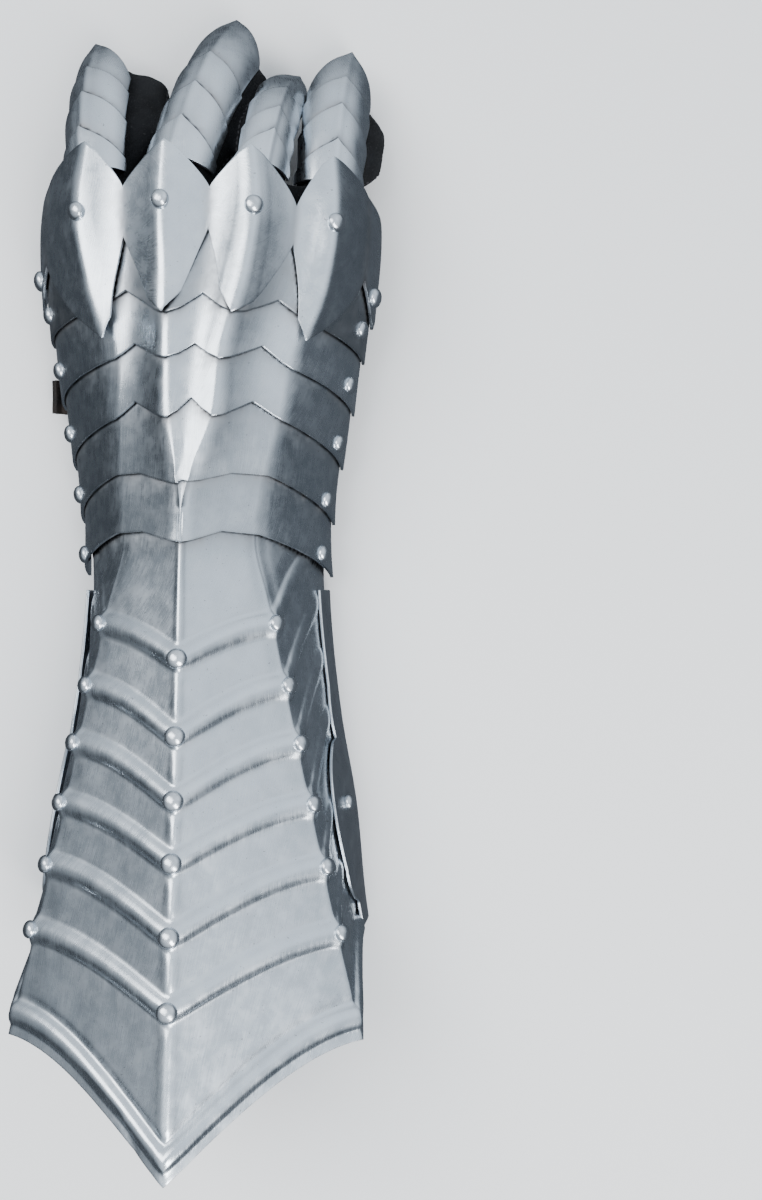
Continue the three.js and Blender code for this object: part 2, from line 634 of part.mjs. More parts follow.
function fingerSolid(finger, wall) {
  const end = finger.length - wall;
  const rings = [-9 - 2 * wall];
  for (let n = 0; n <= FINGER_STEPS; n += 1) rings.push(((end - 8) * n) / FINGER_STEPS);
  const skin = rings.map((s) => fingerRing(finger, s, wall));
  skin.push(fingerRing(finger, end - 3, wall, 0.86), fingerRing(finger, end, wall, 0.5));
  return solid(loft(skin));
}

function palmSolid(grow) {
  const sides = 14;
  const rings = PALM.map((row, n) => Array.from({ length: sides }, (_, i) => {
    const angle = (i / sides) * 360 * DEG;
    const y = row.y + (n === PALM.length - 1 ? grow : 0) - (n === 0 && grow < 0 ? 4 : 0);
    return vec(row.x + (row.halfWidth + grow) * Math.sin(angle), y, row.z + (row.halfHeight + grow) * Math.cos(angle));
  }));
  return solid(loft(rings));
}

function buildGlove() {
  const digits = [...FINGERS, THUMB];
  const hollow = digits.map((finger) => fingerSolid(finger, CLOTH));
  let palm = palmSolid(0).subtract(palmSolid(-CLOTH));
  const clearance = palmSolid(GAP);
  digits.forEach((finger, i) => {
    palm = palm.subtract(hollow[i]);
    const tube = fingerSolid(finger, 0).subtract(hollow[i]).subtract(clearance);
    add(`glove_${finger.name}`, geometryOf(tube), BLACK_CLOTH);
  });
  add('glove_palm', geometryOf(palm), BLACK_CLOTH);
}

// ---------------------------------------------------------------- thumb plates and strap
function buildThumb() {
  for (const { name, from, to, lift } of THUMB_PLATES) {
    add(name, scaleGeometry(THUMB, from, to, SCALE_POINT, THUMB_PLATES.at(-1).from, lift), STEEL);
  }
}

function buildStrap() {
  const columns = [0, 0.33, 0.67, 1];
  const tab = plate(columns, STRAP.face.length, (u, t, i, j) =>
    vec(STRAP.face[j].x, lerp(STRAP.to, STRAP.from, u), STRAP.face[j].z), LEATHER);
  add('thumb_strap', closed(tab), BROWN_LEATHER);
}

buildCuff();
buildInnerPlate();
buildLames();
buildKnucklePlate();
buildScales();
buildGlove();
buildThumb();
buildStrap();

export default gauntlet;
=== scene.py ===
# %% [markdown]
# # An armoured gauntlet, from frame to finish
# The real object is a glove with steel riveted over it: a fluted cuff, five lames that slide over each
# other at the wrist, a knuckle plate of four diamonds and four pointed scales on each finger. The packed
# CAD model is the frame. It stays where it is, and each piece made here takes the place of one of its
# nodes, so the sizes below are the part's own sizes in millimetres.

# %% Load the frame
import math

import bmesh
import bpy
import numpy as np
from mathutils import Matrix, Vector, noise
from mathutils.bvhtree import BVHTree


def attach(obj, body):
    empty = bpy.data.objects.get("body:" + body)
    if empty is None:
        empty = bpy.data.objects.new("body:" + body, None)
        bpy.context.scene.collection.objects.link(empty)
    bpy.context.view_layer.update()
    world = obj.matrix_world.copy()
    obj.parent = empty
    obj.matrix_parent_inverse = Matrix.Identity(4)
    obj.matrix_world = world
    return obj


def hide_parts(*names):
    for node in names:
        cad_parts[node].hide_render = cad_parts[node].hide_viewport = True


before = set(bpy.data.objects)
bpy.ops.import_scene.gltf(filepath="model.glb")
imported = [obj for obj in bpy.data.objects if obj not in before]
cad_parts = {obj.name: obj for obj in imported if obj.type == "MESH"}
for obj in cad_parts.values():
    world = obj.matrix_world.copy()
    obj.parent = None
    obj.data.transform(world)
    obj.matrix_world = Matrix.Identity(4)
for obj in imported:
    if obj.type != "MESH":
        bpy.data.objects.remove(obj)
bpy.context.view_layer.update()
MM = 0.001
BODY = "root"

# %% [markdown]
# ## Camera
# The gauntlet lies palm down and is looked at from straight above, from about half a metre up and a
# little to the little-finger side. So the camera stands over that spot and looks back at the object.

# %% Camera
CAMERA_AT = (92.5, 0, 530)
CAMERA_AIM = (68.2, 0, 0)
HALF_VIEW = math.radians(24.591955)   # half of the upright angle of view

camera_data = bpy.data.cameras.new("camera")
camera_data.sensor_fit = "VERTICAL"
camera_data.sensor_height = 36
camera_data.lens = camera_data.sensor_height / 2 / math.tan(HALF_VIEW)
camera = bpy.data.objects.new("camera", camera_data)
look = (Vector(CAMERA_AIM) - Vector(CAMERA_AT)).normalized()
right = look.cross(Vector((0, 1, 0))).normalized()
turned = Matrix((right, right.cross(look), -look)).transposed()
camera.matrix_world = Matrix.LocRotScale(Vector(CAMERA_AT) * MM, turned.to_quaternion(), None)
bpy.context.scene.collection.objects.link(camera)
bpy.context.scene.camera = camera
print("camera", tuple(camera.location), "lens", round(camera_data.lens, 2))

# %% [markdown]
# ## Floor and light
# Polished steel shows the room more than itself. Its top faces must see a bright sky and its side walls
# a dark room, so the world is bright overhead and dark at the horizon, and the pale floor is kept out of
# reflections. One wide softbox and a narrow strip give the highlights their soft edges.

# %% Floor, world and lights
FLOOR_COLOR = (0.95, 0.95, 0.95, 1)
ZENITH = (0.84, 0.92, 1.0, 1)
HORIZON = (0.075, 0.085, 0.098, 1)
SKY_STRENGTH = 1.22
SIDE_SLOPE = 0.36   # the right of the room is brighter than the left
AHEAD_SHARE = 0.72   # how much of the sky reaches down to the horizon beyond the fingers
DARK_BELOW, BRIGHT_ABOVE = 0.10, 0.92   # how open a direction is where the sky starts and where it is full

def put(tree, kind, inputs=None, **settings):
    """Add a node. Its inputs are values, or sockets to link from."""
    node = tree.nodes.new(kind)
    for key, value in settings.items():
        setattr(node, key, value)
    for key, value in (inputs or {}).items():
        if isinstance(value, bpy.types.NodeSocket):
            tree.links.new(value, node.inputs[key])
        else:
            node.inputs[key].default_value = value
    return node


bpy.ops.mesh.primitive_plane_add(size=6, location=(0, 0, -0.0004))
floor = bpy.context.active_object
floor.name = "floor"
floor.visible_glossy = False
floor_finish = bpy.data.materials.new("pale_floor")
floor_finish.use_nodes = True
floor_shader = floor_finish.node_tree.nodes["Principled BSDF"]
floor_shader.inputs["Base Color"].default_value = FLOOR_COLOR
floor_shader.inputs["Roughness"].default_value = 0.95
floor.data.materials.append(floor_finish)

world = bpy.data.worlds.new("soft_room")
bpy.context.scene.world = world
world.use_nodes = True
sky = world.node_tree
sky.nodes.clear()
way = put(sky, "ShaderNodeSeparateXYZ", {0: put(sky, "ShaderNodeTexCoord").outputs["Generated"]}).outputs
ahead = put(sky, "ShaderNodeMath", {0: way["Y"], 1: 0.0}, operation="MAXIMUM").outputs[0]
openness = put(sky, "ShaderNodeMath", {0: ahead, 1: AHEAD_SHARE, 2: way["Z"]}, operation="MULTIPLY_ADD")
strength = put(sky, "ShaderNodeMath", {0: way["X"], 1: SIDE_SLOPE, 2: SKY_STRENGTH}, operation="MULTIPLY_ADD")
sky_ramp = put(sky, "ShaderNodeValToRGB", {0: openness.outputs[0]})
low, high = sky_ramp.color_ramp.elements
low.position, low.color = DARK_BELOW, HORIZON
high.position, high.color = BRIGHT_ABOVE, ZENITH
sky_light = put(sky, "ShaderNodeBackground", {"Color": sky_ramp.outputs[0], "Strength": strength.outputs[0]})
put(sky, "ShaderNodeOutputWorld", {"Surface": sky_light.outputs[0]})


def softbox(name, place, aim, size, power):
    """A rectangular light at place that faces aim."""
    data = bpy.data.lights.new(name, "AREA")
    data.shape = "RECTANGLE"
    data.size, data.size_y = size
    data.energy = power
    lamp = bpy.data.objects.new(name, data)
    lamp.location = place
    lamp.rotation_euler = (Vector(aim) - Vector(place)).to_track_quat("-Z", "Y").to_euler()
    bpy.context.scene.collection.objects.link(lamp)


softbox("key_softbox", (-0.55, 0.35, 1.15), (0, 0, 0.05), (0.7, 1.1), 12)
softbox("strip_light", (0.5, -0.75, 1.0), (0, -0.05, 0.05), (0.35, 0.9), 15)

# %% [markdown]
# ## The form under the plates
# A smith hammers every plate over the same form, so that they nest. Here the form is a short table: for
# each station along the arm, where its creases run. A point is named by two numbers: `across`, which
# counts the creases from the thumb side (0 edge, 1 crease, 2 and 3 ridges, 4 crease, 5 edge), and `y`.
# Every plate is then a patch of the form, lifted a little, which keeps all of them in step.

# %% Tables of the form
PLATE = 1.2
GAP = 0.35
RISE = 0.078

FORM_COLUMNS = ("y", "leftFoot", "leftCrease", "leftCreaseZ", "leftRidge", "leftRidgeZ",
                "rightRidge", "rightRidgeZ", "rightCrease", "rightCreaseZ", "rightFoot", "footZ", "hollow")
FORM_ROWS = np.array([
    (-200, -72, -72, 61.5, 0, 97.5, 0, 97.5, 72, 61.5, 72, 9, 0),
    (-158, -66, -63.8, 59.5, 0, 91, 0, 91, 63.8, 59.5, 66, 9, 0),
    (-120, -59, -54.6, 57.5, 0, 85.8, 0, 85.8, 54.6, 57.5, 59.5, 9, 0),
    (-80, -53, -45.8, 56, 0, 79.8, 0, 79.8, 45.8, 56, 55.5, 9, 0),
    (-45, -47, -38.2, 54.8, 0, 74.8, 0, 74.8, 38.2, 54.8, 49.5, 9, 0),
    (0, -43.5, -28.8, 52.8, 0, 69.4, 0, 69.4, 28.8, 52.8, 45, 10, 0),
    (20, -44, -24, 51.5, 0, 67, 0, 67, 24, 51.5, 45, 12, 0),
    (41, -46, -24, 52.5, 0, 68, 2, 68, 26.5, 52.5, 47, 13, 0.4),
    (65, -50, -24.2, 55, -3.7, 69.5, 11.4, 69.5, 33, 54.5, 52, 14, 1.4),
    (90, -54.5, -24.4, 57, -4.1, 70.5, 14.8, 70, 38, 55, 57, 16, 2.6),
    (115, -58, -31, 60, -3.8, 71.5, 22, 70.5, 47.5, 55.5, 62, 18, 3.6),
    (140, -60, -36, 62.5, -4.9, 72.5, 26.2, 71, 52.5, 57.5, 66, 20, 4.4),
    (168, -58, -34.4, 62, -4.2, 72, 24.4, 70, 52, 56, 67, 24, 3),
], float)


def smooth_column(rows, key, y):
    """A column of a table of stations at y, on a smooth curve through its rows."""
    ys = rows[:, 0]
    values = rows[:, key]
    slopes = np.diff(values) / np.diff(ys)
    ends = np.concatenate([[slopes[0]], (slopes[:-1] + slopes[1:]) / 2, [slopes[-1]]])
    y = np.clip(y, ys[0], ys[-1])
    i = np.clip(np.searchsorted(ys, y, side="right") - 1, 0, len(ys) - 2)
    span = ys[i + 1] - ys[i]
    t = (y - ys[i]) / span
    return (values[i] * (2 * t**3 - 3 * t**2 + 1) + values[i + 1] * (3 * t**2 - 2 * t**3)
            + ends[i] * span * (t**3 - 2 * t**2 + t) + ends[i + 1] * span * (t**3 - t**2))


def form_column(name, y):
    return smooth_column(FORM_ROWS, FORM_COLUMNS.index(name), y)


def form_point(across, y):
    """Points on the form. across and y are arrays of the same shape."""
    across, y = np.broadcast_arrays(np.asarray(across, float), np.asarray(y, float))
    foot = form_column("footZ", y)
    xs = np.stack([form_column(n, y) for n in ("leftFoot", "leftCrease", "leftRidge",
                                               "rightRidge", "rightCrease", "rightFoot")])
    zs = np.stack([foot] + [form_column(n, y) for n in ("leftCreaseZ", "leftRidgeZ", "rightRidgeZ",
                                                        "rightCreaseZ")] + [foot])
    strip = np.clip(np.floor(across).astype(int), 0, 4)
    t = across - strip
    pick = lambda table, i: np.take_along_axis(table, i[None], 0)[0]
    x0, x1, z0, z1 = pick(xs, strip), pick(xs, strip + 1), pick(zs, strip), pick(zs, strip + 1)
    middle_x = x0 + (x1 - x0) * t
    middle_z = z0 + (z1 - z0) * t - form_column("hollow", y) * np.sin(np.pi * t)
    down = np.clip(np.where(strip == 0, 1 - t, t), 0, 1)
    out = np.sin(down * np.pi / 2) ** 0.9
    top_x, top_z = np.where(strip == 0, x1, x0), np.where(strip == 0, z1, z0)
    foot_x = np.where(strip == 0, x0, x1)
    side = (strip == 0) | (strip == 4)
    x = np.where(side, top_x + (foot_x - top_x) * out, middle_x)
    z = np.where(side, top_z + (foot - top_z) * down, middle_z)
    return np.stack([x, y, z], -1)


STRIP = 30.0   # a usual strip's width in mm


def step_across(across, step, y):
    """A step of about the same length wherever it is made, also where the two ridges run together."""
    ridge_gap = np.maximum(form_column("rightRidge", y) - form_column("leftRidge", y), 1e-3)
    past_ridges = 2 * STRIP + ridge_gap + (across - 3) * STRIP
    far = np.where(across <= 2, across * STRIP,
                   np.where(across < 3, 2 * STRIP + (across - 2) * ridge_gap, past_ridges))
    far = far + step * STRIP
    to = np.where(far <= 2 * STRIP, far / STRIP,
                  np.where(far < 2 * STRIP + ridge_gap, 2 + (far - 2 * STRIP) / ridge_gap,
                           3 + (far - 2 * STRIP - ridge_gap) / STRIP))
    return np.clip(to, 0, 5)


def unit(v):
    return v / np.maximum(np.linalg.norm(v, axis=-1, keepdims=True), 1e-9)


def form_normal(across, y):
    across, y = np.broadcast_arrays(np.asarray(across, float), np.asarray(y, float))
    wide = 0.10
    sideways = form_point(step_across(across, wide, y), y) - form_point(step_across(across, -wide, y), y)
    ahead = form_point(across, y + 1) - form_point(across, y - 1)
    return unit(np.cross(sideways, ahead))


def on_form(across, y, height):
    across, y, height = np.broadcast_arrays(*(np.asarray(v, float) for v in (across, y, height)))
    return form_point(across, y) + form_normal(across, y) * height[..., None]


def side_ways(across):
    return np.maximum(0, np.maximum(1 - across, across - 4))


def smoothstep(x, low, high):
    t = np.clip((x - low) / (high - low), 0, 1)
    return t * t * (3 - 2 * t)


print("left ridge at the wrist:", form_point(2.0, 20.0).round(1))
print("left ridge at the knuckles:", form_point(2.0, 140.0).round(1))

# %% [markdown]
# ## From a grid of points to a steel plate
# A plate is a thin closed shell. Its outer face is a grid of points, the inner face lies 1.2 mm behind,
# and the rim joins them. A hammered crease is never knife sharp, so the grid is first relaxed a little
# across the creases. A small bevel on the rim catches light as a cut and filed edge does. Each plate
# also carries its own UV map in metres and three painted values that its finish reads: one for dirt and
# for painted shadow below the edges of the plates above, `wear` along its edges, and `shade` for a tone of
# its own.

# %% Plate maker
def steps(marks, per_unit):
    """Even steps between the listed marks, so that a crease always falls on a column."""
    columns = [marks[0]]
    for low, high in zip(marks[:-1], marks[1:]):
        count = max(1, round((high - low) * per_unit))
        columns += [low + (high - low) * k / count for k in range(1, count + 1)]
    return np.array(columns)


def relax(grid, passes):
    """Round the creases of a grid of points. Only heights move, so a cut outline stays sharp."""
    z = grid[..., 2].copy()
    for _ in range(passes):
        z[1:-1] = 0.5 * z[1:-1] + 0.25 * (z[:-2] + z[2:])
    return np.concatenate([grid[..., :2], z[..., None]], -1)


def grid_normals(grid):
    sideways = np.gradient(grid, axis=0)
    ahead = np.gradient(grid, axis=1)
    return unit(np.cross(sideways, ahead))


def grid_lengths(grid):
    """How far each point lies across and along the grid, in mm."""
    wide = np.linalg.norm(np.diff(grid, axis=0), axis=-1)
    long = np.linalg.norm(np.diff(grid, axis=1), axis=-1)
    u = np.concatenate([np.zeros((1, grid.shape[1])), np.cumsum(wide, 0)])
    v = np.concatenate([np.zeros((grid.shape[0], 1)), np.cumsum(long, 1)], 1)
    return u, v


def mesh_from(name, points, faces, uv=None, values=None):
    """A mesh in metres from points in mm, with an optional UV map and painted values per point."""
    mesh = bpy.data.meshes.new(name)
    mesh.from_pydata((np.asarray(points) * MM).tolist(), [], faces)
    mesh.update()
    if uv is not None:
        layer = mesh.uv_layers.new(name="sheet")
        corners = np.empty(len(mesh.loops), int)
        mesh.loops.foreach_get("vertex_index", corners)
        layer.data.foreach_set("uv", (np.asarray(uv)[corners] * MM).ravel())
    for key, value in (values or {}).items():
        mesh.attributes.new(key, "FLOAT", "POINT").data.foreach_set("value", np.asarray(value, float))
    mesh.polygons.foreach_set("use_smooth", [True] * len(mesh.polygons))
    return mesh


def plate_mesh(name, grid, thickness=PLATE, values=None, normals=None):
    """The closed shell whose outer face is the grid."""
    wide, long = grid.shape[:2]
    back = grid - (grid_normals(grid) if normals is None else normals) * thickness
    points = np.concatenate([grid.reshape(-1, 3), back.reshape(-1, 3)])
    under = wide * long
    at = np.arange(under).reshape(wide, long)
    a, b, c, d = at[:-1, :-1].ravel(), at[1:, :-1].ravel(), at[1:, 1:].ravel(), at[:-1, 1:].ravel()
    faces = np.stack([a, b, c, d], 1).tolist() + (np.stack([d, c, b, a], 1) + under).tolist()
    border = np.concatenate([at[:-1, 0], at[-1, :-1], at[:0:-1, -1], at[0, :0:-1]])
    after = np.roll(border, -1)
    faces += np.stack([after, border, border + under, after + under], 1).tolist()
    u, v = grid_lengths(grid)
    uv = np.stack([u.ravel(), v.ravel()], 1)
    both = {key: np.tile(np.broadcast_to(value, grid.shape[:2]).ravel(), 2)
            for key, value in (values or {}).items()}
    return mesh_from(name, points, faces, np.concatenate([uv, uv]), both)


def add_piece(name, mesh, material, nodes=()):
    """Link a finished mesh as a piece that rides on the body and stands for its CAD nodes."""
    piece = bpy.data.objects.new(name, mesh)
    bpy.context.scene.collection.objects.link(piece)
    if material:
        mesh.materials.clear()
        mesh.materials.append(material)
    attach(piece, BODY)
    if nodes:
        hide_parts(*nodes)
    return piece


def bevel_rim(piece, width=0.28):
    """Round the cut edges of a plate. Creases of the form are flatter than the limit and stay."""
    bevel = piece.modifiers.new("filed_edge", "BEVEL")
    bevel.width = width * MM
    bevel.segments = 2
    bevel.limit_method = "ANGLE"
    bevel.angle_limit = math.radians(62)


print("plate maker ready")

# %% [markdown]
# ## Finishes
# Hand brushed steel is not one tone: it has broad soft patches, fine streaks from the abrasive, a few
# deeper scratches, and a brown film where plates rub and dirt stays. Each of these is one noise. Below the
# edge of a plate above, the same film and then a near black are painted as shadow. The streaks use the
# plate's own UV map, so they turn with the plate. Constants that a renderer reads as one number stay on
# the shader itself.

# %% Finishes
def new_finish(name, metallic=0.0, **constants):
    finish = bpy.data.materials.new(name)
    finish.use_nodes = True
    shader = finish.node_tree.nodes["Principled BSDF"]
    shader.inputs["Metallic"].default_value = metallic
    for key, value in constants.items():
        shader.inputs[key.replace("_", " ")].default_value = value
    return finish, finish.node_tree, shader


def noise_of(tree, place, scale, detail=2.0, stretch=None, rough=0.5, turn=0.0):
    """Noise at a scale in 1/m, if asked stretched and turned about Z."""
    if stretch or turn:
        place = put(tree, "ShaderNodeMapping", {"Vector": place, "Scale": stretch or (1, 1, 1),
                                                "Rotation": (0, 0, turn)}).outputs[0]
    return put(tree, "ShaderNodeTexNoise", {"Vector": place, "Scale": scale, "Detail": detail,
                                            "Roughness": rough}).outputs[0]


def remap(tree, value, low, high, to_low=0.0, to_high=1.0):
    node = put(tree, "ShaderNodeMapRange", {"Value": value, "From Min": low, "From Max": high,
                                            "To Min": to_low, "To Max": to_high})
    return node.outputs[0]


def calc(tree, kind, a, b):
    return put(tree, "ShaderNodeMath", {0: a, 1: b}, operation=kind).outputs[0]


def blend_color(tree, factor, a, b, kind="MIX"):
    node = put(tree, "ShaderNodeMix", data_type="RGBA", blend_type=kind)
    for index, value in ((0, factor), (6, a), (7, b)):
        if isinstance(value, bpy.types.NodeSocket):
            tree.links.new(value, node.inputs[index])
        else:
            node.inputs[index].default_value = value
    return node.outputs[2]


def painted(tree, name):
    return put(tree, "ShaderNodeAttribute", attribute_name=name).outputs["Fac"]


STEEL_LIGHT = (0.75, 0.80, 0.85, 1)
STEEL_DARK = (0.62, 0.675, 0.73, 1)
# RUST_FILM and OLD_DIRT colour the dirt film, which also serves as painted shadow below the edges of the
# plates above; GAP_SHADOW is the near black of that painted shadow.
RUST_FILM = (0.13, 0.085, 0.06, 1)
OLD_DIRT = (0.10, 0.095, 0.10, 1)
GAP_SHADOW = (0.02, 0.02, 0.024, 1)


FELT_DARK = (0.0035, 0.004, 0.005, 1)
FELT_LIGHT = (0.010, 0.011, 0.013, 1)
FELT_NAP = (0.022, 0.023, 0.026, 1)
FELT_LINT = (0.16, 0.16, 0.16, 1)
LEATHER_DARK = (0.008, 0.007, 0.007, 1)
LEATHER_LIGHT = (0.026, 0.019, 0.016, 1)


def steel_finish(name):
    finish, tree, shader = new_finish(name, metallic=1.0, Anisotropic=0.25)
    sheet = put(tree, "ShaderNodeUVMap", uv_map="sheet").outputs[0]
    solid = put(tree, "ShaderNodeTexCoord").outputs["Object"]
    broad = noise_of(tree, solid, 38, 4)
    patches = noise_of(tree, solid, 150, 5, rough=0.62)
    streaks = noise_of(tree, sheet, 1.0, 3, stretch=(2400, 110, 1))
    cross = noise_of(tree, sheet, 1.0, 2, stretch=(3200, 70, 1), turn=0.55)
    scratch = remap(tree, cross, 0.66, 0.72)
    specks = remap(tree, noise_of(tree, solid, 900, 2), 0.70, 0.76)
    tone = calc(tree, "ADD", remap(tree, broad, 0.3, 0.7, 0, 0.6), remap(tree, patches, 0.35, 0.65, 0, 0.4))
    color = blend_color(tree, tone, STEEL_DARK, STEEL_LIGHT)
    # Brown film: dirt, and below the edges of the plates above, painted shadow.
    dirt_film_and_shade = calc(tree, "MULTIPLY", painted(tree, "dirt_and_shade"), remap(tree, patches, 0.30, 0.60, 0.25, 1.0))
    color = blend_color(tree, calc(tree, "MULTIPLY", dirt_film_and_shade, 0.7),
                        color, blend_color(tree, remap(tree, broad, 0.4, 0.6), RUST_FILM, OLD_DIRT))
    # Painted shadow: close below the edge of a plate above, the colour goes to near black.
    color = blend_color(tree, remap(tree, painted(tree, "dirt_and_shade"), 0.72, 1.0), color, GAP_SHADOW)
    color = blend_color(tree, calc(tree, "MULTIPLY", specks, 0.5), color, OLD_DIRT)
    shade = painted(tree, "shade")
    grey = put(tree, "ShaderNodeCombineColor", {0: shade, 1: shade, 2: shade}).outputs[0]
    color = blend_color(tree, 1.0, color, grey, "MULTIPLY")
    tree.links.new(color, shader.inputs["Base Color"])
    rough = remap(tree, streaks, 0.3, 0.7, 0.20, 0.32)
    rough = calc(tree, "ADD", rough, remap(tree, patches, 0.35, 0.7, -0.04, 0.09))
    rough = calc(tree, "ADD", rough, calc(tree, "MULTIPLY", dirt_film_and_shade, 0.32))
    rough = calc(tree, "SUBTRACT", rough, calc(tree, "MULTIPLY", painted(tree, "wear"), 0.08))
    tree.links.new(rough, shader.inputs["Roughness"])
    relief = calc(tree, "ADD", calc(tree, "MULTIPLY", streaks, 0.06), calc(tree, "MULTIPLY", scratch, -0.015))
    relief = calc(tree, "ADD", relief, calc(tree, "MULTIPLY", patches, 0.08))
    relief = calc(tree, "ADD", relief, calc(tree, "MULTIPLY", broad, 0.6))
    bump = put(tree, "ShaderNodeBump", {"Height": relief, "Strength": 0.5, "Distance": 0.0006})
    tree.links.new(bump.outputs[0], shader.inputs["Normal"])
    return finish


def rivet_finish():
    finish, tree, shader = new_finish("rivet_steel", metallic=1.0)
    solid = put(tree, "ShaderNodeTexCoord").outputs["Object"]
    patches = noise_of(tree, solid, 420, 3)
    color = blend_color(tree, remap(tree, patches, 0.35, 0.7), (0.70, 0.73, 0.77, 1), (0.52, 0.56, 0.60, 1))
    tree.links.new(color, shader.inputs["Base Color"])
    tree.links.new(remap(tree, patches, 0.3, 0.7, 0.16, 0.32), shader.inputs["Roughness"])
    bump = put(tree, "ShaderNodeBump", {"Height": patches, "Strength": 0.35, "Distance": 0.0004})
    tree.links.new(bump.outputs[0], shader.inputs["Normal"])
    return finish


def felt_finish():
    finish, tree, shader = new_finish("black_felt", Sheen_Weight=0.03, Sheen_Roughness=0.5,
                                      Specular_IOR_Level=0.06, Roughness=0.95)
    solid = put(tree, "ShaderNodeTexCoord").outputs["Object"]
    nap = noise_of(tree, solid, 2600, 4, rough=0.7)
    clouds = noise_of(tree, solid, 120, 4)
    lint = remap(tree, noise_of(tree, solid, 1500, 1), 0.71, 0.76)
    color = blend_color(tree, remap(tree, clouds, 0.35, 0.65), FELT_DARK, FELT_LIGHT)
    color = blend_color(tree, calc(tree, "MULTIPLY", nap, 0.3), color, FELT_NAP)
    color = blend_color(tree, calc(tree, "MULTIPLY", lint, 0.35), color, FELT_LINT)
    tree.links.new(color, shader.inputs["Base Color"])
    bump = put(tree, "ShaderNodeBump", {"Height": nap, "Strength": 0.8, "Distance": 0.0009})
    tree.links.new(bump.outputs[0], shader.inputs["Normal"])
    return finish


def leather_finish():
    finish, tree, shader = new_finish("strap_leather", Specular_IOR_Level=0.35)
    solid = put(tree, "ShaderNodeTexCoord").outputs["Object"]
    cells = put(tree, "ShaderNodeTexVoronoi", {"Vector": solid, "Scale": 1300.0}, feature="DISTANCE_TO_EDGE")
    grain = remap(tree, cells.outputs[0], 0.0, 0.25)
    clouds = noise_of(tree, solid, 160, 4)
    color = blend_color(tree, remap(tree, clouds, 0.35, 0.65), LEATHER_DARK, LEATHER_LIGHT)
    tree.links.new(color, shader.inputs["Base Color"])
    tree.links.new(remap(tree, clouds, 0.3, 0.7, 0.55, 0.8), shader.inputs["Roughness"])
    bump = put(tree, "ShaderNodeBump", {"Height": grain, "Strength": 0.5, "Distance": 0.0004})
    tree.links.new(bump.outputs[0], shader.inputs["Normal"])
    return finish


STEEL = steel_finish("plate_steel")
RIVET = rivet_finish()
FELT = felt_finish()
LEATHER_FINISH = leather_finish()
print("finishes:", [m.name for m in bpy.data.materials])

# %% [markdown]
# ## The cuff
# On the real piece the flutes are raised from inside with a blunt stake, so each is a round ridge about
# 8 mm wide. They arch from the centre line towards the wrist and run out on the side panels. The end is
# turned into a rim. Here every row of the grid follows the arch, so a flute is only a height added
# around its own line: a parabola gives the round crown and the crisp foot.

# %% Cuff tables and heights
FLUTES = [  # where each crosses the ridge, the side crease and the lower edge
    (-21, -9, 24),
    (-48, -31.5, 2),
    (-70, -52.5, -19),
    (-91, -74.3, -40),
    (-115.5, -96.7, -62),
    (-140, -120.4, -85),
]
CUFF_END = (-196, -158, -131)
CUFF_FRONT = (34, 38, 32)
FLUTE_HEIGHT = 2.0
FLUTE_HALF = 4.6
RIM_HEIGHT = 1.8


def arched(line, across):
    """y of a line that arches from the ridge towards the wrist and out to the sides."""
    ridge, crease, foot = line
    s = np.where(across <= 2, 2 - across, across - 3)
    top = ridge + (crease - ridge) * (1 - np.abs(1 - np.clip(s, 0, 1)) ** 1.7)
    side = crease + (foot - crease) * (1 - (2 - np.clip(s, 1, 2)) ** 2)
    return np.where(s <= 1, top, side)


def noise_at(points, size, seed=0.0):
    """Smooth noise from -1 to 1 at points in mm, with features of about size mm."""
    flat = np.asarray(points).reshape(-1, 3) / size + seed
    values = np.array([noise.noise(Vector(p)) for p in flat])
    return values.reshape(np.shape(points)[:-1])


def dome(distance, half):
    """1 at distance 0, falling as a parabola to 0 at half."""
    return np.maximum(0, 1 - (distance / half) ** 2)


PUCKER = ((-31, -165), (-18, -174), (-10, -187))   # a wrinkle where the rim was forced over


def pucker(x, y):
    """A thin uneven wrinkle along a line on the left of the cuff's end."""
    depth = np.zeros_like(x)
    for (x0, y0), (x1, y1) in zip(PUCKER[:-1], PUCKER[1:]):
        long = math.hypot(x1 - x0, y1 - y0)
        along = np.clip(((x - x0) * (x1 - x0) + (y - y0) * (y1 - y0)) / long, 0, long)
        away = np.hypot(x - x0 - along * (x1 - x0) / long, y - y0 - along * (y1 - y0) / long)
        depth = np.maximum(depth, np.exp(-(away / 1.1) ** 2) * (0.65 + 0.35 * np.sin(along * 1.9)))
    return depth


